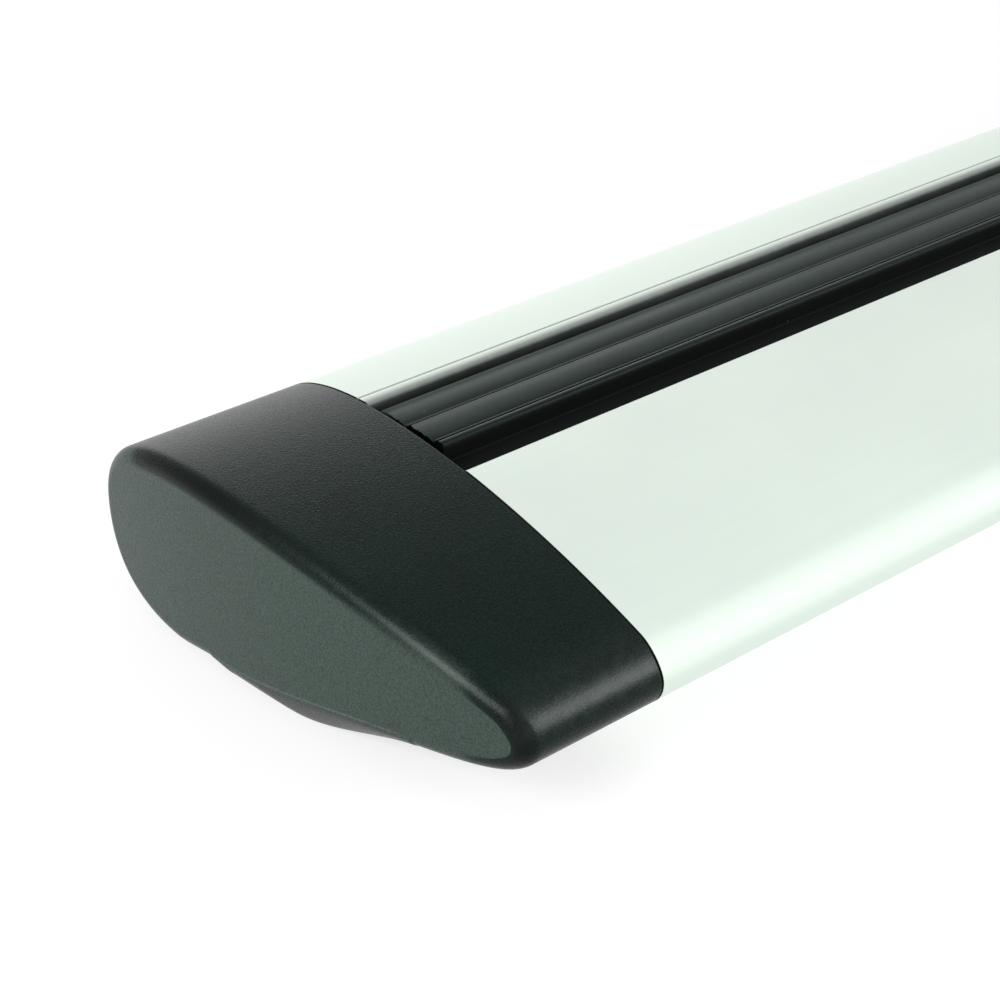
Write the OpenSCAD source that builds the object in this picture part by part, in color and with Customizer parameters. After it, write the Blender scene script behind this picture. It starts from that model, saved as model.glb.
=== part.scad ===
// Pair of aerofoil roof cross bars, side by side with their thick leading noses towards +Y.
// Each hollow metal bar has a ribbed rubber strip in its top slot, a rubber strip in its
// lower channel, and a moulded cap at each end that a countersunk screw holds from below.
// X runs along the bars, Y across them, Z is up, and Z = 0 is the surface they rest on.

/* [Layout] */
// Distance between the centre lines of the two bars
bar_spacing = 200; // [110:5:900]

/* [Bar] */
// Length of each metal bar between its end caps
bar_l = 1140; // [300:10:1600]
// Width of the section from tail nose to leading nose
bar_w = 81.5; // [80:0.5:89]
// Height of the crest above the tail nose
crest_h = 14.1; // [13.7:0.1:17]
// Distance of the crest from the tail nose
crest_y = 54.5; // [52:0.5:58]
// Depth of the underside below the tail nose
base_h = 14.6; // [14.2:0.1:17]
// Distance of the leading end's lowest line from the tail nose
base_y = 63.6; // [61.6:0.1:65.6]
// How far the leading nose lies below the tail nose
lead_drop = 0.2; // [0:0.1:2]
// Length of the blunt tail nose before the long top slope starts
tail_nose_l = 4.3; // [3:0.1:6]
// Height at which the long top slope starts
tail_nose_h = 5.1; // [4.4:0.1:5.6]
// Slope of the top where it leaves the tail nose, as rise over run
tail_slope = 0.35; // [0.28:0.01:0.4]
// Thickness of the outer wall
wall_t = 2; // [1.6:0.1:2.4]
// Thickness of the inner webs
web_t = 2; // [1.5:0.1:2.4]
// Length of the solid metal inside the tail nose
tail_solid_l = 8; // [7:0.5:14]

/* [Underside hump] */
// Distance of the hump's centre from the tail nose
hump_y = 45.5; // [44.5:0.5:46.5]
// Width of the hump's flat underside
hump_flat_w = 12.8; // [12:0.1:15]
// Distance of the hump's tail end from the tail nose
hump_tail_y = 16.9; // [15:0.1:20]
// Depth of the section at the hump's tail end
hump_tail_h = 7.6; // [7:0.1:8.4]
// Height of the shallow dip between the hump and the leading end
hump_dip_h = 1; // [0.2:0.1:1.2]

/* [Top slot] */
// Distance of the slot's centre from the tail nose
slot_y = 48.4; // [47.2:0.1:49.6]
// Width of the slot's opening
slot_w = 20; // [18:0.5:22]
// Width of the chamber under the slot's lips
slot_in_w = 27; // [25:0.5:28]
// Height of the chamber under the slot's lips
slot_in_h = 7; // [6:0.1:7.5]
// Depth of the lips' underside below the crest
slot_lip_t = 3; // [2.8:0.1:3.4]
// Radius of the lips' rounded upper edges
slot_lip_r = 1; // [0.6:0.1:2.2]
// Distance of the fine line along the leading lip from the slot's opening
lip_line_set = 3.1; // [2.8:0.1:4]
// Width of the fine line along the leading lip
lip_line_w = 0.4; // [0.3:0.1:0.8]
// Depth of the fine line along the leading lip
lip_line_h = 0.3; // [0.1:0.1:0.5]

/* [Lower channel] */
// Width of the channel's opening
chan_w = 8; // [6:0.5:9]
// Width of the chamber above the channel's lips
chan_in_w = 16; // [13:0.5:16.5]
// Height of the chamber above the channel's lips
chan_in_h = 5.5; // [4.5:0.1:6]
// Thickness of the channel's lips
chan_lip_t = 2.2; // [2:0.1:2.6]

/* [Top strip] */
// Clearance of the strips to the metal beside them
strip_clear = 0.3; // [0.1:0.05:0.5]
// Distance of the strips' ends from the caps
strip_end_gap = 1; // [0.5:0.1:3]
// Depth of the strip's top below the crest
strip_drop = 1.3; // [0.8:0.1:1.6]
// Width of the leading flat band
band_one_w = 5.3; // [4:0.1:6]
// Width of the middle flat band
band_two_w = 4.8; // [4:0.1:5.5]
// Width of the narrow grooves beside the middle band
groove_w = 0.8; // [0.5:0.1:1.2]
// Depth of the narrow grooves
groove_h = 0.9; // [0.4:0.1:1.4]
// Width of the narrow ridge beside the trough
ridge_w = 1.3; // [1:0.1:2]
// Depth of the trough below the bands
trough_h = 3; // [2:0.1:3.4]
// Thickness of the strip's top and legs
strip_t = 2; // [1.6:0.1:2.4]
// Thickness of the strip's feet under the lips
strip_foot_t = 2.4; // [1.8:0.1:3]

/* [Lower strip] */
// Thickness of the head that lies on the channel's lips
low_head_t = 2.2; // [1.5:0.1:3]
// Depth of the strip's face inside the channel's opening
low_recess = 0.4; // [0.2:0.1:1]

/* [End cap] */
// Length of the cap outside the bar, at its longest
cap_l = 29.6; // [26:0.1:36]
// Radius of the curved end face, seen from above
cap_plan_r = 250; // [180:5:400]
// Distance of the end face's foremost line from the tail nose
cap_plan_y = 63; // [56:0.5:68]
// How far the cap stands proud of the bar's noses and top
cap_proud = 0; // [0:0.05:0.6]
// Radius of the edge around the end face
cap_edge_r = 2.2; // [1.2:0.1:2.4]
// Setback of the hump's sloping end below the end face
cap_hump_set = 2.6; // [2:0.1:5]
// Height of the crease over the hump's sloping end
cap_crease_h = 1.8; // [0.8:0.1:2.2]
// Wall of the cap
cap_wall_t = 2.5; // [2:0.1:3]
// Length of the plugs inside the bar
plug_l = 20; // [16:0.5:40]
// Wall of the plugs
plug_wall_t = 2; // [1.5:0.1:2.5]
// Clearance of the plugs to the bar's chambers
plug_clear = 0.25; // [0.1:0.05:0.4]
// Radius of the cap's moulded screw pad
pad_r = 4.2; // [3.6:0.1:4.6]
// Height of the cap's moulded screw pad
pad_h = 8; // [6.5:0.1:8.5]

/* [Cap screw] */
// Distance of the screw from the end of the metal bar
screw_x = 10; // [8:0.5:12]
// Diameter of the screw's shank
screw_d = 3.5; // [2.9:0.1:4]
// Diameter of the screw's countersunk head
screw_head_d = 6.8; // [6:0.1:7.2]
// Height of the head's cone
screw_head_h = 1.6; // [1.2:0.1:1.8]
// Length of the screw under its head
screw_l = 6; // [5:0.1:6.5]
// Depth of the head's face inside the underside
screw_sink = 0.25; // [0.15:0.05:0.3]
// Clearance around the screw
screw_clear = 0.05; // [0.02:0.01:0.1]
// Width of the hexagon socket across its corners
socket_w = 2.9; // [2.3:0.1:3.1]
// Depth of the hexagon socket
socket_h = 1.6; // [1:0.1:2]

/* [Hidden] */

// Points along each long curve and each short curve of the section
long_n = 18;
short_n = 4;
// Rings of the rounded edge around a cap's end face
edge_n = 5;
round_fn = 48;
// Room by which a cut runs past the face that it opens
past = 1;
// Length by which an inner outline starts before the part of it that is used
inset_lead = 3;

// Corner points of the section, as [distance from the tail nose, height over it]
tail = [0, 0];
slope_start = [tail_nose_l, tail_nose_h];
crest = [crest_y, crest_h];
lead = [bar_w, -lead_drop];
base = [base_y, -base_h];
hump_lead = [hump_y + hump_flat_w / 2, -base_h];
hump_rear = [hump_y - hump_flat_w / 2, -base_h];
dip = [(hump_lead[0] + base_y) / 2 - 2.5, -base_h + hump_dip_h];
hump_tail = [hump_tail_y, -hump_tail_h];

// Reach of the curve handles that shape the section
slope_dir = [1, tail_slope];
nose_up = 1.9;
crest_back = (crest_y - tail_nose_l) * 0.375;
slope_run = (crest_y - tail_nose_l) * 0.25;
crest_fwd = (bar_w - crest_y) * 0.59;
lead_up = (crest_h + lead_drop) * 0.75;
lead_down = (base_h - lead_drop) * 0.63;
base_fwd = (bar_w - base_y) * 0.67;
tail_down = 5.4;

// Places of the slot, the channel and their chambers
slot_near = slot_y - slot_w / 2;
slot_far = slot_y + slot_w / 2;
slot_roof = crest_h - slot_lip_t;
slot_floor = slot_roof - slot_in_h;
chan_floor = -base_h + chan_lip_t;
chan_roof = chan_floor + chan_in_h;
house_near = hump_y - chan_in_w / 2 - web_t;
house_far = hump_y + chan_in_w / 2 + web_t;
strip_top = crest_h - strip_drop;

// A cubic curve from a to d with handles b and c, without its last point
function curve(a, b, c, d, n) = [
    for (i = [0 : n - 1])
        let (t = i / n, s = 1 - t)
        s * s * s * a + 3 * s * s * t * b + 3 * s * t * t * c + t * t * t * d
];

// The section's outline, clockwise from the tail nose over the crest
upper = concat(
    curve(tail, tail + [0, nose_up], slope_start - 2 * slope_dir, slope_start, short_n * 2),
    curve(slope_start, slope_start + slope_run * slope_dir, crest - [crest_back, 0], crest, long_n),
    curve(crest, crest + [crest_fwd, 0], lead + [0, lead_up], lead, long_n)
);
lead_low = curve(lead, lead - [0, lead_down], base + [base_fwd, 0], base, long_n);
base_rise = curve(base, base - [2, 0], dip + [2, 0], dip, short_n);
hump_low = concat(
    curve(dip, dip - [0.8, 0], hump_lead + [0.8, 0], hump_lead, short_n),
    curve(hump_lead, hump_lead, hump_rear, hump_rear, short_n),
    curve(hump_rear, hump_rear - [4.7, 0], hump_tail + [5.9, -1.7], hump_tail, long_n)
);
tail_low = curve(hump_tail, hump_tail + [-8.5, 1.4], tail - [0, tail_down], tail, long_n);
outline = concat(upper, lead_low, base_rise, hump_low, tail_low);
outline_n = len(outline);
hump_start = len(upper) + len(lead_low) + len(base_rise);
hump_n = len(hump_low);

// The crease over the hump on the cap's end face, with one point for each of the hump's
crease = curve(dip + [0, cap_crease_h], dip + [-8, 0.8], hump_tail + [13, 0.3],
    hump_tail + [0, cap_crease_h], hump_n);

// Height of the section's top at distance y from the tail nose
function top_z(y) =
    let (i = max([for (j = [0 : len(upper) - 2]) if (upper[j][0] <= y) j]), p = upper[i], q = upper[i + 1])
    p[1] + (q[1] - p[1]) * (y - p[0]) / (q[0] - p[0]);

function unit(v) = v / norm(v);
function wrap(i) = (i + outline_n) % outline_n;
function along(i) = unit(outline[wrap(i + 1)] - outline[wrap(i - 1)]);
function inward(i) = [along(i)[1], -along(i)[0]];
// The outline moved inwards by d, without the tail nose before distance y_min
function inset(d, y_min) = [
    for (i = [0 : outline_n - 1])
        if (outline[i][0] > y_min) outline[i] + d * inward(i)
];
// The cap's outer line: proud of the bar, but never below its flat underside
function proud(i) =
    let (p = outline[i] - cap_proud * inward(i))
    [p[0], max(p[1], -base_h)];

// Where the curved end face lies, at distance y from the tail nose
function end_x(y) = -cap_l + cap_plan_r - sqrt(pow(cap_plan_r, 2) - pow(y - cap_plan_y, 2));

// Share of the hump's setback at outline point i, and the way from its rim to the end face
function hump_share(i) =
    i < hump_start || i >= hump_start + hump_n ? 0 : sin(180 * (i - hump_start) / hump_n);
function edge_move(i) =
    i < hump_start || i >= hump_start + hump_n
    ? cap_edge_r * inward(i)
    : crease[i - hump_start] - proud(i);

// Ring k of the cap's outer skin: 0 is the rim, then the rounded edge up to the end face
function ring(k) = [
    for (i = [0 : outline_n - 1])
        let (
            turn = 90 * (k - 1) / edge_n,
            share = hump_share(i),
            set = cap_edge_r + share * (cap_hump_set - cap_edge_r),
            step = (k - 1) / edge_n,
            move = k == 0 ? 0 : (1 - share) * (1 - cos(turn)) + share * step,
            back = (1 - share) * (1 - sin(turn)) + share * (1 - step),
            p = proud(i) + move * edge_move(i)
        )
        [k == 0 ? 0 : end_x(p[0]) + set * back, p[0], p[1]]
];

// Lays a section drawn in Y and Z along X, from x0 to x1
module run_x(x0, x1) {
    translate([x0, 0, 0]) rotate([90, 0, 90]) linear_extrude(x1 - x0) children();
}

// A box in the section from one corner to the other
module block(y0, z0, y1, z1) {
    translate([y0, z0]) square([y1 - y0, z1 - z0]);
}

// The sharp corner that a lip's rounded edge takes away; side is 1 or -1, away from the slot
module lip_corner(y, side) {
    at = y + side * slot_lip_r;
    round_z = top_z(at) - slot_lip_r;
    difference() {
        block(min(y, at), round_z, max(y, at), crest_h + past);
        translate([at, round_z]) circle(slot_lip_r, $fn = round_fn);
    }
}

// The space inside a wall of thickness t, from distance y0 of the tail nose on
module inside(t, y0) {
    intersection() {
        polygon(inset(t, y0 - inset_lead));
        block(y0, -base_h, bar_w, crest_h);
    }
}

// The hollow chambers of the bar
module chambers() {
    difference() {
        inside(wall_t, tail_solid_l);
        block(slot_y - slot_in_w / 2 - web_t, slot_floor - web_t, slot_y + slot_in_w / 2 + web_t,
            crest_h);
        block(house_near, -base_h, house_far, slot_floor);
    }
    block(house_near + web_t, chan_roof + web_t, house_far - web_t, slot_floor - web_t);
}

// The top slot with its chamber, rounded lips and fine line
module slot_cut() {
    block(slot_near, slot_floor, slot_far, crest_h + past);
    block(slot_y - slot_in_w / 2, slot_floor, slot_y + slot_in_w / 2, slot_roof);
    lip_corner(slot_near, -1);
    lip_corner(slot_far, 1);
    line_y = slot_far + lip_line_set;
    line_z = top_z(line_y);
    polygon([[line_y - lip_line_w / 2, line_z + past], [line_y - lip_line_w / 2, line_z],
        [line_y, line_z - lip_line_h], [line_y + lip_line_w / 2, line_z],
        [line_y + lip_line_w / 2, line_z + past]]);
}

// The lower channel with its chamber
module channel_cut() {
    block(hump_y - chan_w / 2, -base_h - past, hump_y + chan_w / 2, chan_floor);
    block(hump_y - chan_in_w / 2, chan_floor, hump_y + chan_in_w / 2, chan_roof);
}

// The screw's outline turned about Z: countersunk head below, shank above, with play c
module screw_form(c) {
    rotate_extrude($fn = round_fn)
        polygon([[0, -c], [screw_head_d / 2 + c, -c], [screw_head_d / 2 + c, 0],
            [screw_d / 2 + c, screw_head_h], [screw_d / 2 + c, screw_head_h + screw_l + c],
            [0, screw_head_h + screw_l + c]]);
}

// Puts a screw's form in its hole at the left end
module at_screw() {
    translate([screw_x, base_y, -base_h + screw_sink]) children();
}

// The countersunk hole through the bar's underside, open to below
module screw_hole() {
    at_screw() {
        screw_form(screw_clear);
        translate([0, 0, -past]) cylinder(past, r = screw_head_d / 2 + screw_clear, $fn = round_fn);
    }
}

module bar() {
    color("silver") difference() {
        run_x(0, bar_l) difference() {
            polygon(outline);
            chambers();
            slot_cut();
            channel_cut();
        }
        screw_hole();
        right_end() screw_hole();
    }
}

// The top strip's section: two flat bands, a ridge and a trough over two legs with feet
module top_strip() {
    far = slot_far - strip_clear;
    near = slot_near + strip_clear;
    band_one = far - band_one_w;
    band_two = band_one - groove_w - band_two_w;
    ridge = band_two - groove_w - ridge_w;
    low = strip_top - trough_h;
    foot = slot_in_w / 2 - strip_clear;
    foot_z = slot_floor + strip_foot_t;
    soft = 0.4;
    color("dimgray") run_x(strip_end_gap, bar_l - strip_end_gap) difference() {
        polygon(concat(
            [[slot_y + foot, slot_floor], [slot_y + foot, foot_z], [far, foot_z],
                [far, strip_top - soft], [far - soft, strip_top], [band_one, strip_top],
                [band_one - groove_w / 2, strip_top - groove_h], [band_one - groove_w, strip_top],
                [band_two, strip_top], [band_two - groove_w / 2, strip_top - groove_h],
                [band_two - groove_w, strip_top]],
            curve([ridge, strip_top], [ridge - 1.5, strip_top], [ridge - 1.5, low],
                [near + soft, low], short_n * 2),
            [[near, low - soft], [near, foot_z], [slot_y - foot, foot_z], [slot_y - foot, slot_floor]]
        ));
        block(near + strip_t, slot_floor - past, far - strip_t, low - strip_t);
    }
}

// The lower strip's section: a head on the channel's lips and a neck between them
module lower_strip() {
    head = chan_in_w / 2 - strip_clear;
    neck = chan_w / 2 - strip_clear;
    color("dimgray") run_x(strip_end_gap, bar_l - strip_end_gap) {
        block(hump_y - head, chan_floor, hump_y + head, chan_floor + low_head_t);
        block(hump_y - neck, -base_h + low_recess, hump_y + neck, chan_floor + low_head_t / 2);
    }
}

// The cap's outer skin as one closed form from the rim to the end face
module cap_skin() {
    rings = [for (k = [0 : edge_n + 1]) ring(k)];
    last = (edge_n + 1) * outline_n;
    sides = [for (k = [0 : edge_n], i = [0 : outline_n - 1])
        let (a = k * outline_n + i, b = k * outline_n + wrap(i + 1))
        each [[a, a + outline_n, b], [b, a + outline_n, b + outline_n]]];
    // The end face lies between its top chain and its bottom chain, both from tail to lead
    up_n = len(upper);
    down_n = outline_n - up_n;
    function low_step(j) = round(j * down_n / up_n);
    function low(m) = last + wrap(outline_n - m);
    end_face = [for (j = [0 : up_n - 1])
        each concat(
            j == up_n - 1 ? [] : [[last + j + 1, last + j, low(low_step(j + 1))]],
            [for (m = [low_step(j) : low_step(j + 1) - 1]) if (m > 0) [last + j, low(m), low(m + 1)]]
        )];
    polyhedron(
        points = [for (r = rings) each r],
        faces = concat([[for (i = [0 : outline_n - 1]) i]], sides, end_face)
    );
}

// The space in front of the curved end face, set back from it by d
module plan_body(d) {
    translate([cap_plan_r - cap_l, cap_plan_y, -2 * base_h])
        cylinder(2 * base_h + 2 * crest_h, r = cap_plan_r - d, $fn = 4 * round_fn);
}

// The walls of both plugs from x0 to x1: skin is the depth of their outer faces, and y0 is
// where the tail plug starts
module plug_walls(x0, x1, skin, y0) {
    hollow = plug_clear + plug_wall_t;
    web = slot_y - slot_in_w / 2 - web_t;
    roof = slot_floor - web_t;
    run_x(x0, x1) difference() {
        union() {
            intersection() {
                inside(skin, y0);
                block(y0, -base_h, web - plug_clear, crest_h);
            }
            intersection() {
                inside(skin, y0);
                block(house_far + plug_clear, -base_h, bar_w, roof - plug_clear);
            }
        }
        intersection() {
            inside(wall_t + hollow, tail_solid_l + hollow);
            block(tail_solid_l, -base_h, web - hollow, crest_h);
        }
        intersection() {
            inside(wall_t + hollow, tail_solid_l + hollow);
            block(house_far + hollow, -base_h, bar_w, roof - hollow);
        }
    }
}

// The plugs, from the cap's end wall into the bar, with the pad that the screw bites in
module plugs() {
    plug_skin = wall_t + plug_clear;
    intersection() {
        union() {
            plug_walls(-cap_l, -past, cap_wall_t / 2, tail_solid_l - past);
            plug_walls(-2 * past, plug_l, plug_skin, tail_solid_l + plug_clear);
            intersection() {
                run_x(0, plug_l) inside(plug_skin, house_far + plug_clear);
                translate([screw_x, base_y, -base_h]) cylinder(wall_t + pad_h, r = pad_r, $fn = round_fn);
            }
        }
        plan_body(cap_wall_t / 2);
    }
}

module cap() {
    color("darkslategray") difference() {
        union() {
            difference() {
                cap_skin();
                intersection() {
                    run_x(-cap_l, past) inside(cap_wall_t, tail_solid_l);
                    plan_body(cap_wall_t);
                }
            }
            plugs();
        }
        at_screw() screw_form(screw_clear);
    }
}

module screw() {
    color("gray") at_screw() difference() {
        screw_form(0);
        translate([0, 0, -past]) cylinder(past + socket_h, r = socket_w / 2, $fn = 6);
    }
}

// Places one bar's pieces in the pair: 1 is the front bar, -1 the rear bar
module placed(side) {
    translate([-bar_l / 2, side * bar_spacing / 2 - bar_w / 2, base_h]) children();
}

// Turns a left end piece into the right end's mirror image
module right_end() {
    translate([bar_l, 0, 0]) mirror([1, 0, 0]) children();
}

placed(1) bar();  // front_bar
placed(1) top_strip();  // front_top_strip
placed(1) lower_strip();  // front_lower_strip
placed(1) cap();  // front_left_cap
placed(1) right_end() cap();  // front_right_cap
placed(1) screw();  // front_left_screw
placed(1) right_end() screw();  // front_right_screw
placed(-1) bar();  // rear_bar
placed(-1) top_strip();  // rear_top_strip
placed(-1) lower_strip();  // rear_lower_strip
placed(-1) cap();  // rear_left_cap
placed(-1) right_end() cap();  // rear_right_cap
placed(-1) screw();  // rear_left_screw
placed(-1) right_end() screw();  // rear_right_screw
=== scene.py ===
"""Dressed model of a pair of aerofoil roof cross bars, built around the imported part.

Sections are drawn in millimetres: y is the distance from the tail nose and z the height over
it. A bar's own x starts at its left metal end. Every mesh is then put in the part's frame.
"""

import logging
import math
import random
from dataclasses import dataclass, field
from enum import Enum

import bmesh
import bpy
from mathutils import Matrix, Vector


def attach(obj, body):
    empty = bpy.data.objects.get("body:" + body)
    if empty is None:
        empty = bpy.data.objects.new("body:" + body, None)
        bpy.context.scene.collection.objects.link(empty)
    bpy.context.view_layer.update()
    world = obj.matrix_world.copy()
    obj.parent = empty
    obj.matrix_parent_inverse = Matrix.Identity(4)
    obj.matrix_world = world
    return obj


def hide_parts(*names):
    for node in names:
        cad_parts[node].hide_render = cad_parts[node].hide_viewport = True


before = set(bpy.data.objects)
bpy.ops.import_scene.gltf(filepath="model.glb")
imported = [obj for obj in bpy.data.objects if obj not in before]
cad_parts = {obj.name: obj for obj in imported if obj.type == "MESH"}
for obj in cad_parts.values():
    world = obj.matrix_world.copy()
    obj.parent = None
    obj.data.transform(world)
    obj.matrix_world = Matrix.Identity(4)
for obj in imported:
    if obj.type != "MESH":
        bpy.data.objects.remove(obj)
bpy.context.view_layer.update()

LOG = logging.getLogger("cross_bars")
MM = 0.001
Chain = list[Vector]
Ring = list[bmesh.types.BMVert]
Colour = tuple[float, float, float]


class Side(Enum):
    """Which bar of the pair: the value is the sign of its place along Y."""

    FRONT = 1
    REAR = -1

    @property
    def label(self) -> str:
        """Gives the word that starts this bar's piece names."""
        return self.name.lower()


class End(Enum):
    """Which end of a bar a piece closes."""

    LEFT = "left"
    RIGHT = "right"


class Facing(Enum):
    """Direction that a filled flat end faces."""

    LEFT = (-1, 0, 0)
    RIGHT = (1, 0, 0)
    DOWN = (0, 0, -1)
    UP = (0, 0, 1)


class Slot(Enum):
    """The record's material slots."""

    METAL = "bar_metal"
    RUBBER = "strip_rubber"
    PLASTIC = "cap_plastic"
    STEEL = "screw_steel"


def curve(a: Vector, b: Vector, c: Vector, d: Vector, count: int) -> Chain:
    """Samples a cubic curve.

    Args:
        a: Start point.
        b: First handle.
        c: Second handle.
        d: End point.
        count: Number of points, without the end point.

    Returns:
        The points from a up to just before d.
    """
    points = []
    for i in range(count):
        t = i / count
        s = 1 - t
        points.append(s * s * s * a + 3 * s * s * t * b + 3 * s * t * t * c + t * t * t * d)
    return points


def yz(y: float, z: float) -> Vector:
    """Makes a point of the section."""
    return Vector((y, z))


def clamped(value: float) -> float:
    """Keeps a value between 0 and 1."""
    return min(1.0, max(0.0, value))


def stations(near: tuple[float, ...], length: float) -> list[float]:
    """Gives distances along a piece: its middle, and the same ones from both ends.

    Args:
        near: Distances from one end, growing.
        length: Length of the piece.

    Returns:
        The distances from the left end to the right one.
    """
    return [*near, length / 2, *(length - x for x in reversed(near))]


def both_sides(middle: float, half: list[tuple[float, float]]) -> Chain:
    """Draws a line on the leading side of a middle, and its mirror image back on the tail side.

    Args:
        middle: Distance of the middle from the tail nose.
        half: Each point's distance from the middle and its height.

    Returns:
        The points of both sides, one line.
    """
    lead = [yz(middle + off, z) for off, z in half]
    return lead + [yz(middle - off, z) for off, z in reversed(half)]


def arc(centre: Vector, radius: float, start: float, stop: float, count: int) -> Chain:
    """Samples an arc.

    Args:
        centre: Centre of the arc.
        radius: Its radius.
        start: Start angle in degrees, from +y towards +z.
        stop: End angle in degrees.
        count: Number of points, both ends included.

    Returns:
        The points in order.
    """
    turns = [math.radians(start + (stop - start) * i / (count - 1)) for i in range(count)]
    return [centre + radius * yz(math.cos(t), math.sin(t)) for t in turns]


def softened(corners: Chain, radius: float, steps: int = 3) -> Chain:
    """Rounds every inner corner of an open line, and keeps its two ends.

    Args:
        corners: The line's corners.
        radius: Length taken off each leg of a corner.
        steps: Number of pieces in each rounded corner.

    Returns:
        The line with rounded corners.
    """
    line = [corners[0]]
    for before, corner, after in zip(corners, corners[1:], corners[2:]):
        lead_in = corner + (before - corner).normalized() * radius
        lead_out = corner + (after - corner).normalized() * radius
        for i in range(steps + 1):
            t = i / steps
            line.append((1 - t) ** 2 * lead_in + 2 * t * (1 - t) * corner + t * t * lead_out)
    line.append(corners[-1])
    return line


@dataclass(frozen=True)
class Section:
    """The bar's outer line, from the sizes that the solids use, in millimetres.

    Names that end in up, down, run, back, fwd and pull are the reaches of curve handles: from
    slope_run to base_fwd as shares of the stretch that they shape.
    """

    width: float = 81.5
    crest_h: float = 14.1
    crest_y: float = 54.5
    base_h: float = 14.6
    base_y: float = 63.6
    lead_drop: float = 0.2
    tail_nose_l: float = 4.3
    tail_nose_h: float = 5.1
    tail_slope: float = 0.35
    wall: float = 2.0
    web: float = 2.0
    tail_solid: float = 8.0
    hump_y: float = 45.5
    hump_flat_w: float = 12.8
    hump_tail: tuple[float, float] = (16.9, -7.6)
    hump_dip: float = 1.0
    slot_y: float = 48.4
    slot_w: float = 20.0
    slot_in_w: float = 27.0
    slot_in_h: float = 7.0
    lip_t: float = 3.0
    lip_r: float = 1.0
    line_set: float = 2.6
    line_w: float = 0.4
    line_h: float = 0.3
    chan_w: float = 8.0
    chan_in_w: float = 16.0
    chan_in_h: float = 5.5
    chan_lip_t: float = 2.2
    nose_up: float = 1.9
    tail_down: float = 5.4
    slope_run: float = 0.25
    crest_back: float = 0.375
    crest_fwd: float = 0.59
    lead_up: float = 0.75
    lead_down: float = 0.63
    base_fwd: float = 0.67
    dip_pull: float = 2.0
    dip_shift: float = 2.5
    hump_lead_pull: float = 0.8
    hump_rear_pull: float = 4.7
    hump_tail_pull: tuple[float, float] = (5.9, -1.7)
    tail_low_pull: tuple[float, float] = (-8.5, 1.4)
    fine: int = 3

    @property
    def slot_near(self) -> float:
        """Gives the slot's edge on the tail's side."""
        return self.slot_y - self.slot_w / 2

    @property
    def slot_far(self) -> float:
        """Gives the slot's edge on the leading side."""
        return self.slot_y + self.slot_w / 2

    @property
    def slot_roof(self) -> float:
        """Gives the height of the underside of the slot's lips."""
        return self.crest_h - self.lip_t

    @property
    def slot_floor(self) -> float:
        """Gives the height of the slot's floor."""
        return self.slot_roof - self.slot_in_h

    @property
    def chan_floor(self) -> float:
        """Gives the height of the upper faces of the lower channel's lips."""
        return self.chan_lip_t - self.base_h

    @property
    def base(self) -> Vector:
        """Gives the lowest point of the leading end."""
        return yz(self.base_y, -self.base_h)

    @property
    def hump_lead(self) -> Vector:
        """Gives the leading end of the hump's flat underside."""
        return yz(self.hump_y + self.hump_flat_w / 2, -self.base_h)

    @property
    def hump_rear(self) -> Vector:
        """Gives the tail end of the hump's flat underside."""
        return yz(self.hump_y - self.hump_flat_w / 2, -self.base_h)

    @property
    def dip(self) -> Vector:
        """Gives the middle of the shallow dip between the hump and the leading end."""
        middle = (self.hump_lead.x + self.base_y) / 2
        return yz(middle - self.dip_shift, self.hump_dip - self.base_h)

    def upper(self) -> Chain:
        """Draws the top from the tail nose over the crest to the leading nose.

        Returns:
            The points without the leading nose itself.
        """
        n_short, n_long = 8 * self.fine, 18 * self.fine
        tail, rise = yz(0, 0), yz(1, self.tail_slope)
        start = yz(self.tail_nose_l, self.tail_nose_h)
        crest = yz(self.crest_y, self.crest_h)
        lead = yz(self.width, -self.lead_drop)
        back, front = self.crest_y - self.tail_nose_l, self.width - self.crest_y
        up = yz(0, (self.crest_h + self.lead_drop) * self.lead_up)
        return (
            curve(tail, yz(0, self.nose_up), start - 2 * rise, start, n_short)
            + curve(start, start + self.slope_run * back * rise,
                    crest - yz(self.crest_back * back, 0), crest, n_long)
            + curve(crest, crest + yz(self.crest_fwd * front, 0), lead + up, lead, n_long)
        )

    def lead_low(self) -> Chain:
        """Draws the underside from the leading nose to its lowest point."""
        lead, base = yz(self.width, -self.lead_drop), self.base
        down = yz(0, (self.base_h - self.lead_drop) * self.lead_down)
        front = yz((self.width - self.base_y) * self.base_fwd, 0)
        return curve(lead, lead - down, base + front, base, 18 * self.fine)

    def base_rise(self) -> Chain:
        """Draws the underside from the leading end's lowest point up into the dip."""
        pull = yz(self.dip_pull, 0)
        return curve(self.base, self.base - pull, self.dip + pull, self.dip, 4 * self.fine)

    def hump_low(self) -> list[Chain]:
        """Draws the hump: its leading end, its flat underside and its long tail side."""
        lead, rear, dip, tail = self.hump_lead, self.hump_rear, self.dip, yz(*self.hump_tail)
        ahead, behind = yz(self.hump_lead_pull, 0), yz(self.hump_rear_pull, 0)
        up = yz(*self.hump_tail_pull)
        return [
            curve(dip, dip - ahead, lead + ahead, lead, 4 * self.fine),
            curve(lead, lead, rear, rear, 4 * self.fine),
            curve(rear, rear - behind, tail + up, tail, 18 * self.fine),
        ]

    def tail_low(self) -> Chain:
        """Draws the underside from the hump's tail end to the tail nose."""
        end, pull = yz(*self.hump_tail), yz(*self.tail_low_pull)
        return curve(end, end + pull, yz(0, -self.tail_down), yz(0, 0), 18 * self.fine)

    def outline(self) -> Chain:
        """Draws the whole outer line, clockwise from the tail nose."""
        hump = [point for part in self.hump_low() for point in part]
        return self.upper() + self.lead_low() + self.base_rise() + hump + self.tail_low()

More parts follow.
